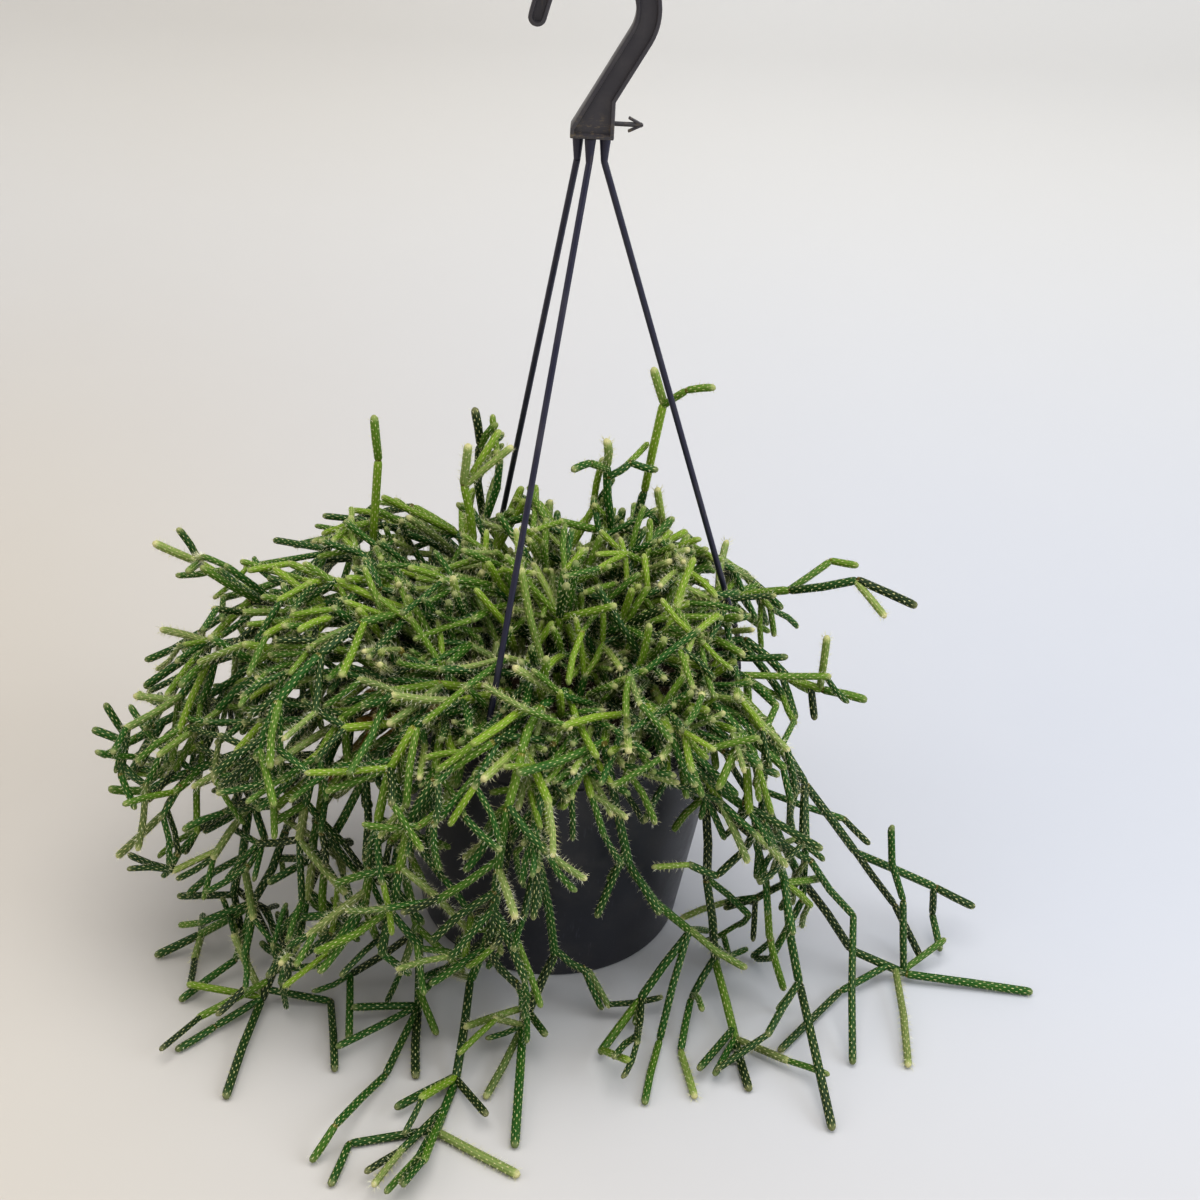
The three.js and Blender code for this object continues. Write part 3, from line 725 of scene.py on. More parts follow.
# How thick the part's own stems stand around each small cell of space
def crowdAround():
    cell = crowd["cell"]
    low = np.array([cadBox[0][k] / mm - crowd["border"] for k in range(3)])
    size = [int((cadBox[1][k] / mm + crowd["border"] - low[k]) / cell) + 1 for k in range(3)]
    own = np.zeros(size)
    for spray in sprays:
        for line in [spray["main"][1:]] + [side["points"] for side in spray["sides"]]:
            for p in along(line):
                own[tuple(int((p[k] - low[k]) / cell) for k in range(3))] += 1
    steps = int(crowd["reach"] / cell)
    total, near = np.zeros(size), np.zeros(size, bool)
    for i in range(-steps, steps + 1):
        for j in range(-steps, steps + 1):
            for k in range(-steps, steps + 1):
                far = math.sqrt(i * i + j * j + k * k) * cell
                if far > crowd["reach"]:
                    continue
                moved = np.roll(own, (i, j, k), (0, 1, 2))
                total += moved
                if far <= crowd["hug"]:
                    near |= moved > 0
    return low, total, near


crowdLow, crowdTotal, crowdNear = crowdAround()


def inCrowd(p):
    at = tuple(int((p[k] - crowdLow[k]) / crowd["cell"]) for k in range(3))
    if any(at[k] < 0 or at[k] >= crowdTotal.shape[k] for k in range(3)):
        return False
    return crowdNear[at] or (crowdTotal[at] >= crowd["least"] and underDome(p))


def inMound(p):
    return p[2] > filling["mound"] and math.hypot(p[0], p[1]) < filling["moundOut"]


def inFan(p, fan):
    return fan[0] < math.degrees(math.atan2(p[1], p[0])) % 360 < fan[1]


def inOpenPlace(p):
    if p[2] > falling["openTop"] or math.hypot(p[0], p[1]) > falling["openOut"]:
        return False
    return inFan(p, falling["openFan"])


def overSoil(p):
    return p[2] < shooting["top"] and math.hypot(p[0], p[1]) < shooting["ring"]


def overRim(p):
    beside = falling["foot"] < p[2] < falling["top"] and math.hypot(p[0], p[1]) < falling["out"]
    return beside and inFan(p, falling["fan"])


def hasRoom(start, end, reach):
    for p in along([start, end]):
        if p[2] < reach + filling["floorRoom"]:
            return False
        if not overSoil(p) and not overRim(p) and not inCrowd(p):
            return False
        if inOpenPlace(p):
            return False
        near = (p[0] - start[0]) ** 2 + (p[1] - start[1]) ** 2 + (p[2] - start[2]) ** 2
        if near < filling["skip"] ** 2:
            continue
        if not clearOfPot(p, reach + filling["potRoom"]):
            return False
        if not clearOfStems(p, reach * filling["closeness"], None, filling["stemRoom"], 0):
            return False
    return True


def addFiller(fillers, joint, shape, radii):
    point = joint["point"]
    start = shifted(point, joint["heading"], -1.2 - 1.6 * fillSeries.draw())
    start = (start[0], start[1], max(start[2], filling["least"]))
    radius = fillSeries.between(radii)
    lift = shape.get("lift", filling["moundLift" if inMound(point) else "hangLift"])
    for k in range(shape["tries"]):
        angle = math.radians(fillSeries.between(shape["angle"]))
        way = leaning(joint, 2 * math.pi * fillSeries.draw(), angle, lift, filling["groundLift"])
        end = shifted(point, way, fillSeries.between(shape["length"]))
        end = (end[0], end[1], max(end[2], radius + 0.6))
        if hasRoom(start, end, radius):
            take([start, end], radius * filling["closeness"], "fine")
            fillers.append({"points": [start, end], "radius": radius})
            return jointAt(end, start)
    return None


def fillFrom(fillers, joints, order):
    if order >= filling["orders"]:
        return
    grown = []
    kind = "side" if order == 0 else "tip"
    for joint in joints:
        place = "mound" if inMound(joint["point"]) else "hang"
        chance = filling[place + "Chance"][order]
        if joint["point"][2] < filling["floorHeight"]:
            chance *= filling["floorChance"]
        for k in range(filling[place + "Count"][order]):
            if fillSeries.draw() > chance:
                continue
            made = addFiller(fillers, joint, filling[kind], filling[kind + "Radius"])
            if made:
                grown.append(made)
    fillFrom(fillers, grown, order + 1)


def sideEnds(spray):
    found = []
    for side in spray["sides"]:
        points = side["points"]
        for k in range(1, len(points)):
            found.append(jointAt(points[k], points[k - 1]))
    return found


def soilJoint(out, a, ahead):
    point = (out * math.cos(a), out * math.sin(a), soilSize["top"] + filling["footRise"])
    return {"point": point, "heading": unit(ahead), "carried": 0}


def growShoot(shoots):
    out = shooting["ring"] * math.sqrt(fillSeries.draw())
    a = 2 * math.pi * fillSeries.draw()
    lean, full = shooting["lean"], shooting["leanOut"]
    joint = soilJoint(out, a, (lean * math.cos(a) * out / full, lean * math.sin(a) * out / full, 1))
    joints = []
    for k in range(shooting["joints"]):
        joint = addFiller(shoots, joint, shooting["step"], filling["sideRadius"])
        if joint is None:
            break
        joints.append(joint)
    fillFrom(shoots, joints, 1)


def growRimShoot(shoots):
    a = math.radians(fillSeries.between(falling["fan"]))
    lean = falling["lean"]
    joint = soilJoint(fillSeries.between(falling["ring"]), a, (math.cos(a) * lean, math.sin(a) * lean, 1))
    joint = addFiller(shoots, joint, falling["rise"], filling["sideRadius"])
    if joint:
        joint["heading"] = unit((math.cos(a), math.sin(a), falling["droop"]))
    joints = []
    for k in range(shooting["joints"]):
        if joint is None:
            break
        joints.append(joint)
        joint = addFiller(shoots, joint, falling["step"], filling["sideRadius"])
    fillFrom(shoots, joints, 1)


def fillPlant():
    for spray in sprays:
        spray["fillers"] = []
    for spray in sprays:
        fillFrom(spray["fillers"], spray["joints"], 0)
    for spray in sprays:
        fillFrom(spray["fillers"], sideEnds(spray), 1)
    shoots = []
    for k in range(shooting["count"]):
        growShoot(shoots)
    for k in range(falling["count"]):
        growRimShoot(shoots)
    return shoots


shoots = fillPlant()
print("stems filled in:", sum(len(s["fillers"]) for s in sprays), "and", len(shoots), "in the middle")

# Stem mesh: one short shape is made once, and laid along every stem
stemShape = {
    "sides": 7,
    "rings": (  # share of the length, millimetres more, width
        (0, -0.8, 0.62),
        (0, 0.9, 0.94),
        (0.5, 0, 1.0),
        (1, -3.0, 1.0),
        (1, -1.1, 0.86),
        (1, -0.1, 0.42),
    ),
    "bow": 0.07,
    "areoleRows": 10,
    "areoleStep": 4.0,
    "bristles": (0.8, 4.2),  # in one tuft, on an old and on a young stem
    "bristleLength": (1.3, 3.2),
    "bristleWidth": 0.14,
    "bristleClear": 0.6,  # none this near to the end
    "bristleGain": (0.7, 0.6),  # share of the tuft at the foot, and what the far end adds
    "bristleForward": (-0.1, 1.1),
    "bristleAside": 0.7,
    "bristleSink": 0.96,  # share of the radius at which one starts
    "hairReach": (0.4, 0.7, 1.2),  # share of the length on a bare stem, what hair adds, and the most
    "tuftReach": 4.5,  # the woolly end of a free stem
    "tuft": 3.0,
    "tuftForward": 0.8,
    "flatBelow": 9,  # a stem that starts or ends lower than this bends little, and only sideways
    "flatBow": 0.3,
    "farTip": 20.0,
}
# Stems lower than one height are brought down so that they lie on the floor
settling = {"below": 8, "from": 3.4, "onto": 2.2, "clear": 0.15}


def readTemplate(bm):
    bm.verts.ensure_lookup_table()
    bm.verts.index_update()
    places = np.array([v.co[:] for v in bm.verts])
    corners = [[v.index for v in face.verts] for face in bm.faces]
    return places, corners


def makeStemTemplate():
    sides = stemShape["sides"]
    bm = bmesh.new()
    bmesh.ops.create_circle(bm, cap_ends=True, segments=sides, radius=1)
    bmesh.ops.reverse_faces(bm, faces=bm.faces[:])
    edges = bm.edges[:]
    for k in range(1, len(stemShape["rings"])):
        made = bmesh.ops.extrude_edge_only(bm, edges=edges)["geom"]
        verts = [g for g in made if isinstance(g, bmesh.types.BMVert)]
        edges = [g for g in made if isinstance(g, bmesh.types.BMEdge)]
        bmesh.ops.translate(bm, verts=verts, vec=(0, 0, 1))
        last = set(verts)
        edges = [e for e in edges if e.verts[0] in last and e.verts[1] in last]
    bmesh.ops.contextual_create(bm, geom=edges)
    bmesh.ops.recalc_face_normals(bm, faces=bm.faces[:])
    places, corners = readTemplate(bm)
    bm.free()
    return places, corners


def makeBristleTemplate():
    bm = bmesh.new()
    bmesh.ops.create_circle(bm, cap_ends=True, segments=3, radius=1)
    places, corners = readTemplate(bm)
    bm.free()
    order = np.argsort(places[:, 1])
    blade = np.zeros((3, 3))
    blade[order[2]] = (0, 0, 1)
    blade[order[0]] = (-0.5, 0, 0)
    blade[order[1]] = (0.5, 0, 0)
    return blade, corners


stemPlaces, stemCorners = makeStemTemplate()
bladePlaces, bladeCorners = makeBristleTemplate()
lookSeries = np.random.default_rng(7)


def sideways(way):
    across = np.where(np.abs(way[:, 2:3]) < 0.9, [[0.0, 0.0, 1.0]], [[1.0, 0.0, 0.0]])
    first = np.cross(across, way)
    first /= np.linalg.norm(first, axis=1, keepdims=True)
    return first, np.cross(way, first)


def lower(points, radius):
    below, start, onto = settling["below"], settling["from"], settling["onto"]
    z = points[:, 2]
    z = np.where(z < below, onto + (z - start) * (below - onto) / (below - start), z)
    points[:, 2] = np.maximum(z, radius + settling["clear"])
    return points


def centreAt(stems, t):
    # t is one number for each stem and place along it
    start, end, bow = stems["start"][:, None], stems["end"][:, None], stems["bow"][:, None]
    return start + (end - start) * t[..., None] + bow * (4 * t * (1 - t))[..., None]


def gatherStems(rows):
    stems = {key: np.array([r[key] for r in rows]) for key in rows[0]}
    for key in ("start", "end"):
        stems[key] = lower(stems[key].astype(float), stems["radius"])
    way = stems["end"] - stems["start"]
    stems["length"] = np.linalg.norm(way, axis=1)
    stems["way"] = way / stems["length"][:, None]
    first, second = sideways(stems["way"])
    roll = lookSeries.uniform(0, 2 * np.pi, len(rows))[:, None]
    stems["first"] = first * np.cos(roll) + second * np.sin(roll)
    stems["second"] = np.cross(stems["way"], stems["first"])
    amount = lookSeries.uniform(-1, 1, len(rows)) * stemShape["bow"] * stems["length"]
    low = np.minimum(stems["start"][:, 2], stems["end"][:, 2]) < stemShape["flatBelow"]
    bow = stems["first"] * np.where(low, stemShape["flatBow"], 1)[:, None] * amount[:, None]
    bow[:, 2] = np.where(low, 0, bow[:, 2])
    stems["bow"] = bow
    return stems


def stemSkin(stems):
    rings = np.array(stemShape["rings"])
    ring = np.rint(stemPlaces[:, 2]).astype(int)
    angle = np.arctan2(stemPlaces[:, 1], stemPlaces[:, 0])
    length = stems["length"][:, None]
    alongMm = rings[ring, 0][None] * length + rings[ring, 1][None]
    centre = centreAt(stems, alongMm / length)
    width = stems["radius"][:, None] * rings[ring, 2][None]
    c, s = np.cos(angle)[None, :, None], np.sin(angle)[None, :, None]
    out = stems["first"][:, None] * c + stems["second"][:, None] * s
    return centre + out * width[..., None], alongMm


def stemBristles(stems):
    # tufts stand in rows along the stem, each row half a step behind the one beside it
    shape = stemShape
    found = {"root": [], "way": [], "across": [], "length": [], "young": []}
    rows = np.arange(shape["areoleRows"])
    low, high = shape["bristles"]
    foot, gain = shape["bristleGain"]
    short, long = shape["bristleLength"]
    bare, hair, most = shape["hairReach"]
    for s in range(len(stems["length"])):
        length = stems["length"][s]
        steps = np.arange(int(length / shape["areoleStep"]) + 1)
        row, step = (a.ravel() for a in np.meshgrid(rows, steps))
        v = (step + 0.5 + 0.5 * (row % 2)) * shape["areoleStep"]
        keep = v < length - shape["bristleClear"]
        row, v = row[keep], v[keep]
        hairy = stems["hairy"][s]
        atEnd = np.clip(1 - (length - v) / shape["tuftReach"], 0, 1) * (stems["free"][s] > 0)
        more = hairy * (high - low) * (foot + gain * v / length) + atEnd * shape["tuft"] * hairy
        count = (low + lookSeries.random(len(row)) + more).astype(int)
        row, v, atEnd = np.repeat(row, count), np.repeat(v, count), np.repeat(atEnd, count)
        if not len(row):
            continue
        angle = (row + 0.5) / shape["areoleRows"] * 2 * np.pi
        out = stems["first"][s] * np.cos(angle)[:, None] + stems["second"][s] * np.sin(angle)[:, None]
        t = v / length
        centre = stems["start"][s] + (stems["end"][s] - stems["start"][s]) * t[:, None]
        centre = centre + stems["bow"][s] * (4 * t * (1 - t))[:, None]
        forward = lookSeries.uniform(*shape["bristleForward"], len(row)) + atEnd * shape["tuftForward"]
        around = np.cross(stems["way"][s], out)
        aside = lookSeries.uniform(-shape["bristleAside"], shape["bristleAside"], len(row))
        way = out + stems["way"][s] * forward[:, None] + around * aside[:, None]
        way /= np.linalg.norm(way, axis=1, keepdims=True)
        across = np.cross(way, lookSeries.normal(size=way.shape))
        across /= np.linalg.norm(across, axis=1, keepdims=True)
        found["root"].append(centre + out * stems["radius"][s] * shape["bristleSink"])
        found["way"].append(way)
        found["across"].append(across)
        reach = short + (long - short) * min(most, bare + hair * hairy)
        found["length"].append(lookSeries.uniform(short, reach, len(row)))
        found["young"].append(np.full(len(row), stems["young"][s]))
    if not found["root"]:
        return np.zeros((0, 3, 3)), np.zeros(0)
    found = {key: np.concatenate(value) for key, value in found.items()}
    across = found["across"][:, None] * bladePlaces[None, :, 0:1] * shape["bristleWidth"]
    up = found["way"][:, None] * (bladePlaces[None, :, 2:3] * found["length"][:, None, None])
    blades = found["root"][:, None] + across + up
    blades[..., 2] = np.maximum(blades[..., 2], 0.05)
    return blades, found["young"]


def cornerUv():
    # how far around the stem each corner of the short shape is, without a jump at the seam
    sides = stemShape["sides"]
    angle = np.arctan2(stemPlaces[:, 1], stemPlaces[:, 0]) / (2 * np.pi) % 1
    found = []
    for face in stemCorners:
        u = [angle[v] for v in face]
        if len(face) == 4 and max(u) - min(u) > 0.5:
            u = [a + 1 if a < 0.5 else a for a in u]
        found.extend(u)
    return np.array(found)


stemCornerUv = cornerUv()


def layMesh(name, rows):
    stems = gatherStems(rows)
    places, alongMm = stemSkin(stems)
    blades, bladeYoung = stemBristles(stems)
    count, each = places.shape[:2]
    flat = np.array([v for face in stemCorners for v in face])
    sizes = np.array([len(face) for face in stemCorners])
    corners = (flat[None] + (np.arange(count) * each)[:, None]).ravel()
    bladeCount = len(blades)
    bladeFlat = np.array(bladeCorners[0])
    bladeLoops = (bladeFlat[None] + (count * each + np.arange(bladeCount) * 3)[:, None]).ravel()
    allSizes = np.concatenate([np.tile(sizes, count), np.full(bladeCount, 3)]).astype(np.int32)
    allLoops = np.concatenate([corners, bladeLoops]).astype(np.int32)
    allPlaces = np.concatenate([places.reshape(-1, 3), blades.reshape(-1, 3)]) * mm
    mesh = bpy.data.meshes.new(name)
    mesh.vertices.add(len(allPlaces))
    mesh.vertices.foreach_set("co", allPlaces.astype(np.float32).ravel())
    mesh.loops.add(len(allLoops))
    mesh.loops.foreach_set("vertex_index", allLoops)
    mesh.polygons.add(len(allSizes))
    starts = np.concatenate([[0], np.cumsum(allSizes)[:-1]]).astype(np.int32)
    mesh.polygons.foreach_set("loop_start", starts)
    mesh.polygons.foreach_set("loop_total", allSizes)
    materials = np.concatenate([np.zeros(count * len(sizes)), np.ones(bladeCount)]).astype(np.int32)
    mesh.polygons.foreach_set("material_index", materials)
    mesh.update(calc_edges=True)
    mesh.polygons.foreach_set("use_smooth", np.ones(len(allSizes), bool))
    uv = mesh.uv_layers.new(name="alongStem")
    v = (alongMm[:, flat] / stemShape["areoleStep"]).ravel()
    u = np.tile(stemCornerUv, count)
    bladeUv = np.tile(np.array([[0.0, 0.0], [1.0, 0.0], [0.5, 1.0]]), (bladeCount, 1))
    uvs = np.concatenate([np.stack([u, v], 1), bladeUv])
    uv.data.foreach_set("uv", uvs.astype(np.float32).ravel())
    tipMm = np.where(stems["free"][:, None] > 0, stems["length"][:, None] - alongMm, stemShape["farTip"])
    values = {
        "young": np.concatenate([np.repeat(stems["young"], each), np.repeat(bladeYoung, 3)]),
        "tone": np.concatenate([np.repeat(stems["tone"], each), np.full(bladeCount * 3, 0.5)]),
        "dry": np.concatenate([np.repeat(stems["dry"], each), np.zeros(bladeCount * 3)]),
        "hairy": np.concatenate([np.repeat(stems["hairy"], each), np.zeros(bladeCount * 3)]),
        "tipDistance": np.concatenate([tipMm.ravel(), np.full(bladeCount * 3, stemShape["farTip"])]),
    }
    for key, value in values.items():
        mesh.attributes.new(key, "FLOAT", "POINT").data.foreach_set("value", value.astype(np.float32))
    mesh.materials.append(looks["stem"])
    mesh.materials.append(looks["bristle"])
    piece = bpy.data.objects.new(name, mesh)
    scene.collection.objects.link(piece)
    return piece


# Finishes. Colours are given as they look on a screen, from 0 to 255.
finish = {
    "deepGreen": (4, 32, 10),
    "midGreen": (26, 84, 18),
    "yellowGreen": (130, 158, 42),
    "youngGreen": (158, 172, 100),
    "areoleCream": (214, 208, 150),
    "woolCream": (206, 200, 146),
    "jointBrown": (120, 92, 36),
    "dryBrown": (168, 112, 46),
    "bristle": (240, 238, 218),
    "pot": (37, 38, 47),
    "potWorn": (84, 86, 96),
    "hanger": (66, 63, 67),
    "hangerWorn": (150, 132, 98),
    "strap": (36, 35, 56),
    "soil": (46, 34, 25),
    "soilLight": (104, 80, 58),
    "dust": (150, 144, 132),
}


def colour(name):
    found = []
    for c in finish[name]:
        c /= 255
        found.append(c / 12.92 if c <= 0.04045 else ((c + 0.055) / 1.055) ** 2.4)
    return (*found, 1.0)


def put(tree, kind, inputs=None, **settings):
    made = tree.nodes.new("ShaderNode" + kind)
    for key, value in settings.items():
        setattr(made, key, value)
    for key, value in (inputs or {}).items():
        if isinstance(value, bpy.types.NodeSocket):
            tree.links.new(value, made.inputs[key])
        else:
            made.inputs[key].default_value = value
    return made


def maths(tree, operation, first, second=0.0, third=0.0):
    made = put(tree, "Math", {0: first, 1: second, 2: third}, operation=operation)
    return made.outputs[0]


def fade(tree, value, low, high, fromValue=0.0, toValue=1.0):
    inputs = {"Value": value, "From Min": low, "From Max": high, "To Min": fromValue, "To Max": toValue}
    return put(tree, "MapRange", inputs, interpolation_type="SMOOTHSTEP").outputs[0]


def blend(tree, factor, first, second, kind="MIX"):
    made = put(tree, "Mix", data_type="RGBA", blend_type=kind)
    for socket, value in ((made.inputs[0], factor), (made.inputs[6], first), (made.inputs[7], second)):
        if isinstance(value, bpy.types.NodeSocket):
            tree.links.new(value, socket)
        else:
            socket.default_value = value
    return made.outputs[2]


def noise(tree, vector, scale, detail=3.0, roughness=0.55):
    inputs = {"Vector": vector, "Scale": scale, "Detail": detail, "Roughness": roughness}
    return put(tree, "TexNoise", inputs).outputs[0]


def objectPlace(tree):
    return put(tree, "TexCoord").outputs["Object"]


def attribute(tree, name):
    return put(tree, "Attribute", attribute_name=name).outputs["Fac"]


def newGroup(name, inputs, outputs):
    group = bpy.data.node_groups.new(name, "ShaderNodeTree")
    for key, (kind, value) in inputs.items():
        socket = group.interface.new_socket(name=key, in_out="INPUT", socket_type="NodeSocket" + kind)
        if value is not None:
            socket.default_value = value
    for key, kind in outputs.items():
        group.interface.new_socket(name=key, in_out="OUTPUT", socket_type="NodeSocket" + kind)
    return group, group.nodes.new("NodeGroupInput").outputs, group.nodes.new("NodeGroupOutput").inputs


# Moulded plastic: fine grain, long faint scratches, and dust that gathers in patches
def makeMouldedGroup():
    inputs = {
        "Place": ("Vector", None),
        "Grain Scale": ("Float", 900.0),
        "Scratches": ("Float", 0.5),
        "Colour": ("Color", (0.1, 0.1, 0.1, 1)),
        "Worn Colour": ("Color", (0.2, 0.2, 0.2, 1)),
        "Dust": ("Float", 0.2),
        "Roughness": ("Float", 0.4),
    }
    outputs = {"Colour": "Color", "Roughness": "Float", "Height": "Float"}
    group, given, out = newGroup("mouldedPlastic", inputs, outputs)
    grain = noise(group, given["Place"], given["Grain Scale"], 2.0)
    stretched = put(group, "Mapping", {"Vector": given["Place"], "Scale": (1.0, 1.0, 0.06)}).outputs[0]
    fine = fade(group, noise(group, stretched, 700.0, 2.0, 0.6), 0.6, 0.72)
    patch = fade(group, noise(group, given["Place"], 38.0, 3.0), 0.45, 0.7)
    scratch = maths(group, "MULTIPLY", maths(group, "MULTIPLY", fine, patch), given["Scratches"])
    cloud = fade(group, noise(group, given["Place"], 55.0, 5.0, 0.65), 0.42, 0.78)
    worn = blend(group, scratch, given["Colour"], given["Worn Colour"])
    dusty = blend(group, maths(group, "MULTIPLY", cloud, given["Dust"]), worn, colour("dust"))
    group.links.new(dusty, out["Colour"])
    rough = maths(group, "ADD", given["Roughness"], maths(group, "MULTIPLY", cloud, 0.16))
    group.links.new(maths(group, "ADD", rough, maths(group, "MULTIPLY", grain, 0.1)), out["Roughness"])
    height = maths(group, "SUBTRACT", grain, maths(group, "MULTIPLY", scratch, 0.6))
    group.links.new(height, out["Height"])
    return group


mouldedGroup = makeMouldedGroup()


def newMaterial(name, **sockets):
    material = bpy.data.materials.new(name)
    material.use_nodes = True
    shader = material.node_tree.nodes["Principled BSDF"]
    for key, value in sockets.items():
        shader.inputs[key.replace("_", " ")].default_value = value
    return material, material.node_tree, shader


def feed(tree, shader, base=None, roughness=None, height=None, distance=0.0003, strength=0.5):
    if base is not None:
        tree.links.new(base, shader.inputs["Base Color"])
    if roughness is not None:
        tree.links.new(roughness, shader.inputs["Roughness"])
    if height is not None:
        bump = put(tree, "Bump", {"Height": height, "Distance": distance, "Strength": strength})
        tree.links.new(bump.outputs[0], shader.inputs["Normal"])


# Each plastic: its rubbed colour, how worn it is, how strong its grain stands out, and for the hook
# the two heights between which its block is rubbed
plastics = {
    "pot": {
        "worn": "potWorn",
        "sockets": {"Grain Scale": 1100.0, "Scratches": 0.5, "Dust": 0.1, "Roughness": 0.34},
        "bump": 0.25,
    },
    "hanger": {
        "worn": "hangerWorn",
        "sockets": {"Grain Scale": 800.0, "Scratches": 0.45, "Dust": 0.12, "Roughness": 0.3},
        "bump": 0.25,
        "rubbed": (0.3985, 0.409),
    },
    "strap": {
        "worn": "hangerWorn",
        "sockets": {"Grain Scale": 1200.0, "Scratches": 0.3, "Dust": 0.08, "Roughness": 0.32},
        "bump": 0.2,
    },
}


def plasticMaterial(key):
    plastic = plastics[key]
    material, tree, shader = newMaterial(key + "Plastic")
    made = tree.nodes.new("ShaderNodeGroup")
    made.node_tree = mouldedGroup
    tree.links.new(objectPlace(tree), made.inputs["Place"])
    for socket, value in plastic["sockets"].items():
        made.inputs[socket].default_value = value
    made.inputs["Colour"].default_value = colour(key)
    made.inputs["Worn Colour"].default_value = colour(plastic["worn"])
    out = made.outputs
    shown = out["Colour"]
    if "rubbed" in plastic:
        place = objectPlace(tree)
        height = put(tree, "SeparateXYZ", {0: place}).outputs[2]
        flat = put(tree, "Mapping", {"Vector": place, "Scale": (0.35, 0.35, 1.0)}).outputs[0]
        patch = fade(tree, noise(tree, flat, 900.0, 3.0, 0.7), 0.5, 0.72)
        rubbed = maths(tree, "MULTIPLY", fade(tree, height, *plastic["rubbed"], 0.6, 0.0), patch)
        shown = blend(tree, rubbed, shown, colour(plastic["worn"]))
    feed(tree, shader, shown, out["Roughness"], out["Height"], 0.0001, plastic["bump"])
    return material


def stemMaterial():
    material, tree, shader = newMaterial("stemSkin", Specular_IOR_Level=0.32)
    place = objectPlace(tree)
    uv = put(tree, "SeparateXYZ", {0: put(tree, "UVMap", uv_map="alongStem").outputs[0]}).outputs
    rows = maths(tree, "MULTIPLY", uv[0], float(stemShape["areoleRows"]))
    odd = maths(tree, "MODULO", maths(tree, "FLOOR", rows), 2.0)
    across = maths(tree, "SUBTRACT", maths(tree, "FRACT", rows), 0.5)
    step = maths(tree, "SUBTRACT", uv[1], maths(tree, "MULTIPLY", odd, 0.5))
    down = maths(tree, "SUBTRACT", maths(tree, "FRACT", step), 0.5)
    speckle = noise(tree, place, 1400.0, 2.0)
    wide = maths(tree, "MULTIPLY", across, 5.0)
    tall = maths(tree, "MULTIPLY", down, 5.4)
    reach = maths(tree, "ADD", maths(tree, "MULTIPLY", wide, wide), maths(tree, "MULTIPLY", tall, tall))
    reach = maths(tree, "ADD", maths(tree, "SQRT", reach), maths(tree, "MULTIPLY_ADD", speckle, 0.7, -0.35))
    uneven = maths(tree, "MULTIPLY_ADD", noise(tree, place, 300.0, 2.0), 1.6, -0.8)
    mark = fade(tree, maths(tree, "ADD", reach, uneven), 0.62, 1.0, 1.0, 0.0)
    patch = maths(tree, "MULTIPLY_ADD", noise(tree, place, 26.0), 0.5, -0.25)
    tone = maths(tree, "ADD", attribute(tree, "tone"), patch)
    ramp = put(tree, "ValToRGB", {0: tone})
    stops = ramp.color_ramp.elements
    stops[0].position, stops[0].color = 0.1, colour("deepGreen")
    stops[1].position, stops[1].color = 0.95, colour("yellowGreen")
    middle = stops.new(0.52)
    middle.color = colour("midGreen")
    young = attribute(tree, "young")
    base = blend(tree, maths(tree, "MULTIPLY", young, 0.75), ramp.outputs[0], colour("youngGreen"))
    furrow = maths(tree, "COSINE", maths(tree, "MULTIPLY", rows, 2 * math.pi))
    shade = maths(tree, "MULTIPLY_ADD", furrow, 0.09, 0.09)
    base = blend(tree, shade, base, colour("deepGreen"))
    base = blend(tree, maths(tree, "MULTIPLY_ADD", speckle, 0.3, -0.1), base, colour("yellowGreen"))
    foot = fade(tree, uv[1], 0.02, 0.22, 0.55, 0.0)
    base = blend(tree, foot, base, colour("jointBrown"))
    base = blend(tree, maths(tree, "MULTIPLY", mark, 0.8), base, colour("areoleCream"))
    base = blend(tree, attribute(tree, "dry"), base, colour("dryBrown"))
    tipDistance = attribute(tree, "tipDistance")
    edge = maths(tree, "ADD", tipDistance, maths(tree, "MULTIPLY_ADD", speckle, 2.4, -1.2))
    hairy = attribute(tree, "hairy")
    pale = maths(tree, "MULTIPLY", fade(tree, edge, 0.5, 5.0, 0.75, 0.0), hairy)
    base = blend(tree, pale, base, colour("youngGreen"))
    woolly = maths(tree, "MULTIPLY_ADD", hairy, 0.9, 0.15)
    wool = maths(tree, "MULTIPLY", fade(tree, edge, -0.4, 3.2, 1.0, 0.0), woolly)
    base = blend(tree, wool, base, colour("woolCream"))
    rough = maths(tree, "MULTIPLY_ADD", maths(tree, "MAXIMUM", mark, wool), 0.35, 0.46)
    rough = maths(tree, "ADD", rough, maths(tree, "MULTIPLY", speckle, 0.08))
    height = maths(tree, "MULTIPLY_ADD", furrow, -0.3, maths(tree, "MULTIPLY", mark, 0.5))
    height = maths(tree, "ADD", height, maths(tree, "MULTIPLY", speckle, 0.5))
    feed(tree, shader, base, rough, height, 0.0003, 0.6)
    return material


def bristleMaterial():
    material, tree, shader = newMaterial("bristle")
    patch = noise(tree, objectPlace(tree), 120.0, 2.0)
    base = blend(tree, fade(tree, patch, 0.3, 0.7), colour("bristle"), colour("areoleCream"))
    feed(tree, shader, base, maths(tree, "MULTIPLY_ADD", patch, 0.2, 0.4))
    return material


def soilMaterial():
    material, tree, shader = newMaterial("pottingSoil")
    place = objectPlace(tree)
    crumb = put(tree, "TexVoronoi", {"Vector": place, "Scale": 420.0})
    patch = noise(tree, place, 160.0, 5.0, 0.7)
    base = blend(tree, fade(tree, patch, 0.35, 0.75), colour("soil"), colour("soilLight"))
    base = blend(tree, fade(tree, crumb.outputs[0], 0.0, 0.6, 0.6, 0.0), base, colour("soil"))
    height = maths(tree, "ADD", maths(tree, "MULTIPLY", crumb.outputs[0], 0.7), patch)
    feed(tree, shader, base, maths(tree, "MULTIPLY_ADD", patch, 0.2, 0.78), height, 0.001, 0.9)
    return material


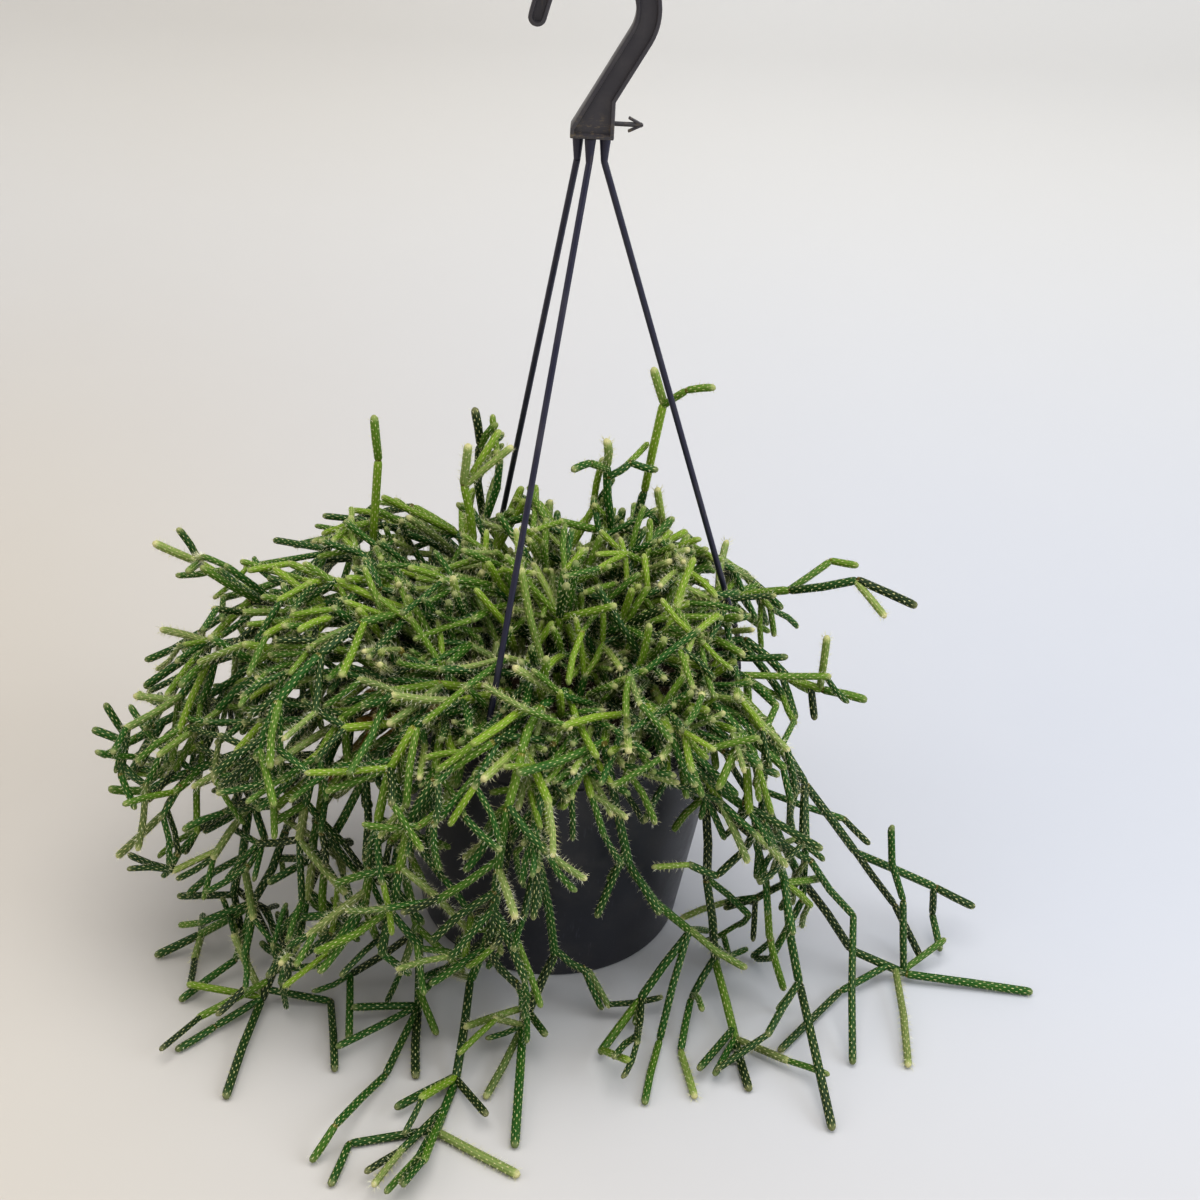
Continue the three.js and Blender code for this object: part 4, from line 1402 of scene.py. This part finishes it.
looks = {"stem": stemMaterial(), "bristle": bristleMaterial()}
for key in plastics:
    looks[key] = plasticMaterial(key)
looks["soil"] = soilMaterial()
print("finishes made:", len(looks))


# Solid pieces
def finishPiece(bm, name, material, sharp=35.0):
    mesh = bpy.data.meshes.new(name)
    bm.to_mesh(mesh)
    bm.free()
    mesh.polygons.foreach_set("use_smooth", np.ones(len(mesh.polygons), bool))
    mesh.set_sharp_from_angle(angle=math.radians(sharp))
    mesh.materials.append(looks[material])
    piece = bpy.data.objects.new(name, mesh)
    scene.collection.objects.link(piece)
    return piece


def stands(piece, slot, *nodes):
    if nodes:
        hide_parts(*nodes)
    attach(piece, "root")


def turned(profile, steps):
    bm = bmesh.new()
    points = [bm.verts.new((r * mm, 0, z * mm)) for r, z in profile]
    edges = [bm.edges.new(pair) for pair in zip(points, points[1:])]
    bmesh.ops.spin(
        bm,
        geom=points + edges,
        cent=(0, 0, 0),
        axis=(0, 0, 1),
        angle=2 * math.pi,
        steps=steps,
        use_merge=True,
    )
    bmesh.ops.remove_doubles(bm, verts=bm.verts[:], dist=1e-5)
    bmesh.ops.recalc_face_normals(bm, faces=bm.faces[:])
    return bm


def once(found):
    # each edge one time, and unlike in a set in the order in which they were found
    return list(dict.fromkeys(found))


def cutWith(piece, cutter):
    modifier = piece.modifiers.new("holes", "BOOLEAN")
    modifier.operation = "DIFFERENCE"
    modifier.solver = "EXACT"
    modifier.object = cutter
    bpy.context.view_layer.update()
    shown = piece.evaluated_get(bpy.context.evaluated_depsgraph_get())
    mesh = bpy.data.meshes.new_from_object(shown)
    piece.modifiers.clear()
    piece.data = mesh
    bpy.data.objects.remove(cutter)


def cylinder(bm, radius, length, segments, matrix, radiusTop=None):
    top = radius if radiusTop is None else radiusTop
    made = bmesh.ops.create_cone(
        bm,
        cap_ends=True,
        segments=segments,
        radius1=radius * mm,
        radius2=top * mm,
        depth=length * mm,
        matrix=matrix,
    )
    return made["verts"]


def rounded(bm, edges, offset, segments):
    bmesh.ops.bevel(
        bm,
        geom=edges,
        offset=offset * mm,
        affect="EDGES",
        segments=segments,
        profile=0.5,
        material=-1,
    )


# The pot: a tapered wall, a rim band with a rolled lip, and holes underneath and for the straps
potShape = {
    "steps": 120,
    "profile": (
        (0, 1.2), (38, 1.2), (52, 1.0), (55, 0), (63.6, 0), (65.2, 0.7),
        (65.8, 2.4), (74.4, 64.5), (82.7, 126.6), (83.1, 127.9), (84.3, 128.3), (85.2, 128.9),
        (85.3, 130.2), (84.6, 131.0), (84.4, 132.0), (84.4, 140.6), (84.7, 141.6), (85.5, 142.2),
        (85.8, 143.2), (85.4, 144.3), (84.4, 144.8), (83.3, 144.5), (82.8, 143.4), (82.6, 130.2),
        (81.5, 128.8), (81.1, 127.4), (64.2, 3.4), (63, 2.4), (0, 2.4),
    ),
    "sharp": 28.0,
    "drainRadius": 4.0,
    "drainLength": 20,
    "drainSides": 24,
    "drainRing": 42.0,
    "drainCount": 6,
    "holeRadius": 2.1,
    "holeLength": 16,
    "holeSides": 16,
}


def makePot():
    shape = potShape
    pot = finishPiece(turned(shape["profile"], shape["steps"]), "potBody", "pot", shape["sharp"])
    bm = bmesh.new()
    ring = shape["drainRing"] * mm
    for k in range(shape["drainCount"]):
        a = 2 * math.pi * k / shape["drainCount"]
        place = Matrix.Translation((ring * math.cos(a), ring * math.sin(a), 0))
        cylinder(bm, shape["drainRadius"], shape["drainLength"], shape["drainSides"], place)
    quarter = Matrix.Rotation(math.pi / 2, 4, "Y")
    for end in strapSize["ends"]:
        turn = Matrix.Rotation(math.radians(end["angle"]), 4, "Z")
        place = Matrix.Translation((potSize["rimRadius"] * mm, 0, strapSize["seatHeight"] * mm))
        cylinder(bm, shape["holeRadius"], shape["holeLength"], shape["holeSides"], turn @ place @ quarter)
    cutWith(pot, finishPiece(bm, "potHoles", "pot"))
    pot.data.set_sharp_from_angle(angle=math.radians(shape["sharp"]))
    stands(pot, "pot_plastic", "pot")


makePot()
print("pot made")

# The soil: a crumbly top under the stems
soilShape = {
    "steps": 72,
    "profile": (
        (0, 131), (14, 131), (28, 131), (42, 131), (56, 131), (68, 130.6),
        (76, 129.8), (80.2, 128.4), (72, 64), (63.4, 3.0), (0, 3.0),
    ),
    "fineFrom": 127.0,  # faces above this height are cut smaller
    "roughFrom": 128.5,
    "roughness": 1.3,
    "spread": 0.35,
    "crumbs": 420,
    "crumbSize": (0.8, 2.6),
    "radius": 78.0,
    "top": 131.0,
}


def makeSoil():
    bm = turned(soilShape["profile"], soilShape["steps"])
    high = [f for f in bm.faces if f.calc_center_median().z > soilShape["fineFrom"] * mm]
    top = [f for f in high if f.normal.z > 0.5]
    edges = once(e for f in top for e in f.edges)
    bmesh.ops.subdivide_edges(bm, edges=edges, cuts=2, use_grid_fill=True)
    random = np.random.default_rng(3)
    # the mesh tools leave the points in another order on each run, so they are sorted by place
    rough = [v for v in bm.verts if v.co.z > soilShape["roughFrom"] * mm]
    rough.sort(key=lambda v: [round(c / mm, 2) for c in v.co])
    for v in rough:
        v.co.z += float(random.normal(0, soilShape["spread"])) * soilShape["roughness"] * mm
    for k in range(soilShape["crumbs"]):
        out = soilShape["radius"] * math.sqrt(random.random()) * mm
        a = random.uniform(0, 2 * math.pi)
        size = random.uniform(*soilShape["crumbSize"]) * mm
        place = Matrix.Translation((out * math.cos(a), out * math.sin(a), soilShape["top"] * mm))
        turn = Matrix.Rotation(random.uniform(0, 6), 4, "X") @ Matrix.Rotation(random.uniform(0, 6), 4, "Z")
        stretch = Matrix.Diagonal((1, random.uniform(0.5, 0.9), random.uniform(0.4, 0.8), 1))
        bmesh.ops.create_icosphere(bm, subdivisions=1, radius=size / 2, matrix=place @ turn @ stretch)
    stands(finishPiece(bm, "soilFill", "soil", 50.0), "soil", "soil")


makeSoil()
print("soil made")

# The hook: a block with a slanted arm that ends in a round crook, channelled on both faces
hookShape = {
    "x": 4.0,
    "bottom": 397.0,
    "halfWidth": 8.8,
    "foot": 4.0,
    "blockDepth": 10.0,
    "blockTop": 416.0,
    "blockFoot": 5,  # height of the part that has the full depth
    "hookDepth": 8.0,
    "armFoot": 7.0,
    "armFree": 18.0,  # how far up the arm it leaves the block
    "armDrop": 5,
    "armHalf": 5.0,
    "armRows": 5,  # the left edge runs straight from the foot of the block to the crook
    "tipHalf": 3.6,
    "tipTurns": (20, 40, 58, 72, 82),
    "radius": 20.6,
    "centre": (-0.8, 447.5),
    "turnFrom": -29.0,
    "turnTo": 165.0,
    "steps": 30,
    "tipHeight": 443.5,
    "rib": 1.5,
    "recess": 1.7,
    "recessEdge": 0.35,
    "bevel": 0.5,
    "pinHeight": 402.5,
    "pinLength": 11.0,
    "pinRadius": 0.95,
    "barbLength": 6.6,
    "barbThickness": 1.0,
    "barbAngle": 27.0,
    "barbAhead": 0.4,
    "barbEdge": 0.3,
}


def hookLine():
    shape = hookShape
    cx, cz = shape["centre"]

    def onCrook(angle):
        a = math.radians(angle)
        return cx + shape["radius"] * math.cos(a), cz + shape["radius"] * math.sin(a)

    topX, topZ = onCrook(shape["turnFrom"])
    slope = math.radians(shape["turnFrom"] + 90)
    footZ = shape["bottom"] + shape["armFoot"] + shape["armFree"] * math.sin(slope)
    line = [(topX - (topZ - z) / math.tan(slope), z) for z in np.linspace(footZ, topZ, 6)[:-1]]
    for k in range(shape["steps"] + 1):
        gone = (shape["turnTo"] - shape["turnFrom"]) * k / shape["steps"]
        line.append(onCrook(shape["turnFrom"] + gone))
    endX, endZ = line[-1]
    lean = math.tan(math.radians(180 - shape["turnTo"]))
    line.append((endX - (endZ - shape["tipHeight"]) * lean, shape["tipHeight"]))
    return line


def hookSides():
    # pairs of points on the left and right edge, first round the block and then along the arm
    shape = hookShape
    line = hookLine()
    last = len(line) - 1
    taper = shape["tipHalf"] - shape["armHalf"]
    halves = [shape["armHalf"] + taper * max(0, 2 * k / last - 1) for k in range(last + 1)]
    (ax, az), (bx, bz) = line[-2], line[-1]
    long = math.hypot(bx - ax, bz - az)
    for turn in shape["tipTurns"]:  # rounded end
        ahead = shape["tipHalf"] * math.sin(math.radians(turn))
        line.append((bx + (bx - ax) / long * ahead, bz + (bz - az) / long * ahead))
        halves.append(shape["tipHalf"] * math.cos(math.radians(turn)))
    pairs = []
    for k, (x, z) in enumerate(line):
        before, after = line[max(k - 1, 0)], line[min(k + 1, len(line) - 1)]
        gone = math.hypot(after[0] - before[0], after[1] - before[1])
        sx, sz = -(after[1] - before[1]) / gone * halves[k], (after[0] - before[0]) / gone * halves[k]
        pairs.append(((x + sx, z + sz), (x - sx, z - sz)))
    half, low, foot = shape["halfWidth"], shape["bottom"], shape["foot"]
    topX, topZ = pairs[shape["armRows"]][0]
    slope = (topZ - low - foot) / (topX + half)
    for k in range(shape["armRows"]):
        z = pairs[k][0][1]
        pairs[k] = ((topX - (topZ - z) / slope, z), pairs[k][1])
    lz = pairs[0][0][1]
    rx, rz = pairs[0][1]
    cornerZ = rz - (rx - half) * math.tan(math.radians(shape["turnFrom"] + 90))
    block = [((-half, low), (half, low)), ((-half, low + foot), (half, low + foot))]
    for part in (0.35, 0.65, 1.0):
        z = low + foot + (cornerZ - low - foot) * part
        leftZ = low + foot + (lz - shape["armDrop"] - low - foot) * part
        block.append(((topX - (topZ - leftZ) / slope, leftZ), (half, z)))
    return block + pairs


def makeHook():
    shape = hookShape
    bm = bmesh.new()
    y = -shape["hookDepth"] / 2
    edge = None
    for left, right in hookSides():
        left = Vector((shape["x"] + left[0], y, left[1])) * mm
        right = Vector((shape["x"] + right[0], y, right[1])) * mm
        if edge is None:
            ends = [bm.verts.new(left), bm.verts.new(right)]
            edge = bm.edges.new(ends)
            continue
        made = bmesh.ops.extrude_edge_only(bm, edges=[edge])["geom"]
        fresh = [g for g in made if isinstance(g, bmesh.types.BMVert)]
        edge = next(g for g in made if isinstance(g, bmesh.types.BMEdge) and set(g.verts) == set(fresh))
        fresh.sort(key=lambda v: (v.co - ends[0].co).length)
        fresh[0].co, fresh[1].co = left, right
        ends = fresh
    made = bmesh.ops.extrude_face_region(bm, geom=bm.faces[:])["geom"]
    moved = [g for g in made if isinstance(g, bmesh.types.BMVert)]
    bmesh.ops.translate(bm, verts=moved, vec=(0, shape["hookDepth"] * mm, 0))
    bmesh.ops.recalc_face_normals(bm, faces=bm.faces[:])
    rims = [e for e in bm.edges if e.calc_face_angle(0) > 1.2]
    for way in (-1, 1):
        flat = [f for f in bm.faces if f.normal.y * way > 0.9]
        for thickness, depth in ((shape["rib"], 0), (shape["recessEdge"], -shape["recess"])):
            bmesh.ops.inset_region(
                bm,
                faces=flat,
                thickness=thickness * mm,
                depth=depth * mm,
                use_even_offset=True,
                use_boundary=True,
            )
    rounded(bm, [e for e in rims if e.is_valid], shape["bevel"], 2)
    bmesh.ops.recalc_face_normals(bm, faces=bm.faces[:])
    widen = shape["blockDepth"] / shape["hookDepth"] - 1
    low, high = (shape["bottom"] + shape["blockFoot"]) * mm, shape["blockTop"] * mm
    for v in bm.verts:
        v.co.y *= 1 + widen * min(1, max(0, (high - v.co.z) / (high - low)))
    addPin(bm)
    stands(finishPiece(bm, "hookBody", "hanger", 30.0), "hanger_plastic", "hanger_hook")


def addPin(bm):
    shape = hookShape
    start = shape["x"] + shape["halfWidth"]
    turn = Matrix.Rotation(math.pi / 2, 4, "Y")
    middle = Vector((start + shape["pinLength"] / 2 - 1, 0, shape["pinHeight"])) * mm
    cylinder(bm, shape["pinRadius"], shape["pinLength"] + 2, 16, Matrix.Translation(middle) @ turn)
    tip = Vector((start + shape["pinLength"], 0, shape["pinHeight"])) * mm
    for side in (1, -1):
        tilt = Matrix.Rotation(math.radians(side * shape["barbAngle"]), 4, "Y")
        size = (shape["barbLength"] * mm, shape["pinRadius"] * 2 * mm, shape["barbThickness"] * mm, 1)
        place = Matrix.Translation(((shape["barbAhead"] - shape["barbLength"] / 2) * mm, 0, 0))
        matrix = Matrix.Translation(tip) @ tilt @ place @ Matrix.Diagonal(size)
        made = bmesh.ops.create_cube(bm, size=1, matrix=matrix)
        rounded(bm, once(e for v in made["verts"] for e in v.link_edges), shape["barbEdge"], 2)


makeHook()
print("hook made")

# The straps: a thin rod with a cone under the block and a button at the rim
strapShape = {
    "sides": 12,
    "round": 9.0,  # how far before and after the bend the rod starts to turn
    "coneSides": 20,
    "buttonSides": 28,
    "buttonOut": 0.8,
    "buttonEdge": 0.6,
    "pegRadius": 1.6,
    "pegLength": 5,
    "pegSides": 16,
}


def sweep(bm, line, radius, sides):
    ways = [(line[min(k + 1, len(line) - 1)] - line[max(k - 1, 0)]).normalized() for k in range(len(line))]
    first = Vector((0, 0, 1)).cross(ways[0])
    first = (first if first.length > 0.1 else Vector((1, 0, 0))).normalized()
    spin = Matrix((first, ways[0].cross(first), ways[0])).transposed().to_4x4()
    made = bmesh.ops.create_circle(
        bm, cap_ends=False, segments=sides, radius=radius * mm, matrix=Matrix.Translation(line[0]) @ spin
    )
    ring = made["verts"]
    edges = once(e for v in ring for e in v.link_edges)
    bmesh.ops.contextual_create(bm, geom=edges)
    for k in range(1, len(line)):
        out = bmesh.ops.extrude_edge_only(bm, edges=edges)["geom"]
        ring = [g for g in out if isinstance(g, bmesh.types.BMVert)]
        fresh = set(ring)
        edges = [g for g in out if isinstance(g, bmesh.types.BMEdge) and set(g.verts) <= fresh]
        turn = ways[k - 1].rotation_difference(ways[k]).to_matrix()
        bmesh.ops.rotate(bm, verts=ring, cent=line[k - 1], matrix=turn)
        bmesh.ops.translate(bm, verts=ring, vec=line[k] - line[k - 1])
    bmesh.ops.contextual_create(bm, geom=edges)


def roundedLine(points, amount):
    a, b, c = (Vector(p) for p in points)
    before = b + (a - b).normalized() * amount
    after = b + (c - b).normalized() * min(amount, (c - b).length * 0.7)
    line = [a.lerp(before, t) for t in np.linspace(0, 1, 9)[:-1]]
    for t in np.linspace(0, 1, 7):
        line.append(before.lerp(b, t).lerp(b.lerp(after, t), t))
    return [p * mm for p in line + [c]]


def makeStrap(end):
    shape, size = strapShape, strapSize
    bm = bmesh.new()
    points = strapLine(end)
    sweep(bm, roundedLine(points, shape["round"]), size["rodRadius"], shape["sides"])
    top = Matrix.Translation((Vector(points[0]) + Vector((0, 0, size["coneLength"] / 2))) * mm)
    cylinder(bm, size["rodRadius"], size["coneLength"], shape["coneSides"], top, size["coneRadius"])
    turn = Matrix.Rotation(math.radians(end["angle"]), 4, "Z")
    quarter = Matrix.Rotation(math.pi / 2, 4, "Y")
    seat = potSize["rimRadius"] + soilSize["gap"] + size["buttonThickness"] / 2 + shape["buttonOut"]
    place = turn @ Matrix.Translation((seat * mm, 0, size["seatHeight"] * mm)) @ quarter
    verts = cylinder(bm, size["buttonRadius"], size["buttonThickness"], shape["buttonSides"], place)
    edges = once(e for v in verts for e in v.link_edges if e.calc_face_angle(0) > 1)
    rounded(bm, edges, shape["buttonEdge"], 3)
    inner = (potSize["rimRadius"] - shape["buttonOut"]) * mm
    place = turn @ Matrix.Translation((inner, 0, size["seatHeight"] * mm)) @ quarter
    cylinder(bm, shape["pegRadius"], shape["pegLength"], shape["pegSides"], place)
    bmesh.ops.recalc_face_normals(bm, faces=bm.faces[:])
    name = end["node"].replace("strap_", "strapRod")
    stands(finishPiece(bm, name, "strap", 40.0), "hanger_plastic", end["node"])


for end in strapSize["ends"]:
    makeStrap(end)
print("straps made")

# The plant: one piece for each spray, and one for the fine stems in the middle
plantLook = {
    "mainRadius": 2.1,
    "sideRadius": 1.85,
    "tipRadius": 1.6,
    "thick": 1.7,  # a solid's side stem over this radius gets the first of the two
    "mainTone": 0.34,
    "kindTone": {"main": 0.0, "side": 0.06, "filler": 0.1},
    "moundTone": 0.26,  # added above the pot, from a height on and over a height
    "toneRise": (90, 110),
    "toneSpread": 0.2,
    "young": (0.35, 1.0),
    "youngChance": 0.13,
    "youngHair": 1.4,
    "hairLow": 0.08,
    "hairHigh": 0.45,
    "hairLeast": 0.2,
    "hairRise": (60, 90),
    "dryPlace": (-72, -46, 128),
    "dryReach": 30.0,
    "dryChance": 0.6,
    "dryAmount": (0.4, 0.9),
}


def risen(z, least, rise):
    return min(1, max(least, (z - rise[0]) / rise[1]))


def toneAt(p, kind):
    tone = plantLook["mainTone"] + plantLook["kindTone"][kind]
    tone += plantLook["moundTone"] * risen(p[2], 0, plantLook["toneRise"])
    return tone + float(lookSeries.normal(0, plantLook["toneSpread"]))


def stemRow(start, end, radius, kind, free):
    young = 0.0
    if free and lookSeries.random() < plantLook["youngChance"]:
        young = float(lookSeries.uniform(*plantLook["young"]))
    high = plantLook["hairHigh"] * risen(end[2], plantLook["hairLeast"], plantLook["hairRise"])
    hairy = max(plantLook["youngHair"] * young, plantLook["hairLow"] + high * lookSeries.random() ** 2)
    dry = 0.0
    if min(distance(p, plantLook["dryPlace"]) for p in (start, end)) < plantLook["dryReach"]:
        dry = float(lookSeries.random() < plantLook["dryChance"])
        dry *= float(lookSeries.uniform(*plantLook["dryAmount"]))
    return {
        "dry": dry,
        "start": start,
        "end": end,
        "radius": radius,
        "young": young,
        "hairy": hairy,
        "tone": toneAt(end, kind),
        "free": float(free),
    }


def fillerRows(fillers):
    return [stemRow(*f["points"], f["radius"], "filler", True) for f in fillers]


def lineRows(line, radius, kind):
    last = len(line) - 2
    return [stemRow(line[k], line[k + 1], radius, kind, k == last) for k in range(last + 1)]


def sprayRows(spray):
    rows = lineRows(spray["main"], plantLook["mainRadius"], "main")
    for side in spray["sides"]:
        radius = plantLook["sideRadius" if side["radius"] > plantLook["thick"] else "tipRadius"]
        rows += lineRows(side["points"], radius, "side")
    return rows + fillerRows(spray["fillers"])


def trianglesOf(piece):
    return len(piece.data.loops) - 2 * len(piece.data.polygons)


def makePlant():
    triangles = 0
    for k, spray in enumerate(sprays):
        piece = layMesh(f"sprayStems{k + 1:02d}", sprayRows(spray))
        stands(piece, "stem", f"spray_{k + 1:02d}")
        triangles += trianglesOf(piece)
    piece = layMesh("middleShoots", fillerRows(shoots))
    stands(piece, "stem")
    print("plant made:", triangles + trianglesOf(piece), "triangles")


makePlant()

# A pale floor that curves up behind, and soft light
stageLook = {
    "front": -2.2,
    "back": 1.6,
    "curve": 0.7,
    "steps": 12,
    "top": 2.6,
    "halfWidth": 3.2,
    "floor": (199, 201, 208),
    "wall": (231, 229, 226),
    "shade": (200, 188, 168),
    "world": (236, 238, 242),
    "worldStrength": 0.48,
    "lamps": (
        {
            "name": "softTop",
            "place": (0.1, -0.2, 2.2),
            "size": 2.2,
            "power": 30,
            "tint": (1.0, 0.99, 0.97),
        },
        {
            "name": "coolRight",
            "place": (1.9, -0.7, 1.2),
            "size": 1.6,
            "power": 20,
            "tint": (0.86, 0.93, 1.0),
        },
        {
            "name": "warmLeft",
            "place": (-1.8, -0.8, 1.3),
            "size": 1.6,
            "power": 8,
            "tint": (1.0, 0.94, 0.86),
        },
    ),
}


def makeStage():
    finish.update({key: stageLook[key] for key in ("floor", "wall", "shade")})
    look = stageLook
    bm = bmesh.new()
    line = [(look["front"], 0.0), (0.0, 0.0), (look["back"], 0.0)]
    for k in range(1, look["steps"] + 1):
        a = math.radians(90 * k / look["steps"])
        line.append((look["back"] + look["curve"] * math.sin(a), look["curve"] * (1 - math.cos(a))))
    line.append((look["back"] + look["curve"], look["top"]))
    points = [bm.verts.new((-look["halfWidth"], y, z)) for y, z in line]
    edges = [bm.edges.new(pair) for pair in zip(points, points[1:])]
    made = bmesh.ops.extrude_edge_only(bm, edges=edges)["geom"]
    moved = [g for g in made if isinstance(g, bmesh.types.BMVert)]
    bmesh.ops.translate(bm, verts=moved, vec=(2 * look["halfWidth"], 0, 0))
    bmesh.ops.recalc_face_normals(bm, faces=bm.faces[:])
    if sum(f.normal.z for f in bm.faces) < 0:
        bmesh.ops.reverse_faces(bm, faces=bm.faces[:])
    material, tree, shader = newMaterial("paleStage", Roughness=0.85)
    place = objectPlace(tree)
    axes = put(tree, "SeparateXYZ", {0: place}).outputs
    base = blend(tree, fade(tree, axes[1], 0.1, 1.4), colour("floor"), colour("wall"))
    leftward = fade(tree, axes[0], -0.5, 0.3, 0.75, 0.0)
    forward = fade(tree, axes[1], 0.1, 1.0, 1.0, 0.35)
    side = maths(tree, "MULTIPLY", leftward, forward)
    base = blend(tree, side, base, colour("shade"))
    base = blend(tree, fade(tree, axes[1], -0.32, 0.02, 0.3, 0.0), base, colour("shade"))
    grain = noise(tree, place, 9.0, 2.0)
    base = blend(tree, maths(tree, "MULTIPLY", grain, 0.06), base, colour("wall"))
    feed(tree, shader, base)
    looks["stage"] = material
    finishPiece(bm, "stageFloor", "stage", 60.0)


def makeLights():
    world = bpy.data.worlds.new("studio")
    scene.world = world
    world.use_nodes = True
    finish["world"] = stageLook["world"]
    back = world.node_tree.nodes["Background"]
    back.inputs["Color"].default_value = colour("world")
    back.inputs["Strength"].default_value = stageLook["worldStrength"]
    for lamp in stageLook["lamps"]:
        data = bpy.data.lights.new(lamp["name"], "AREA")
        data.shape = "DISK"
        data.size = lamp["size"]
        data.energy = lamp["power"]
        data.color = lamp["tint"]
        light = bpy.data.objects.new(lamp["name"], data)
        light.location = lamp["place"]
        aim = Vector((0, 0, 0.15)) - Vector(lamp["place"])
        light.rotation_euler = aim.to_track_quat("-Z", "Y").to_euler()
        scene.collection.objects.link(light)


makeStage()
makeLights()
scene.view_settings.view_transform = "Standard"
scene.view_settings.look = "Medium High Contrast"
print("stage and light made")
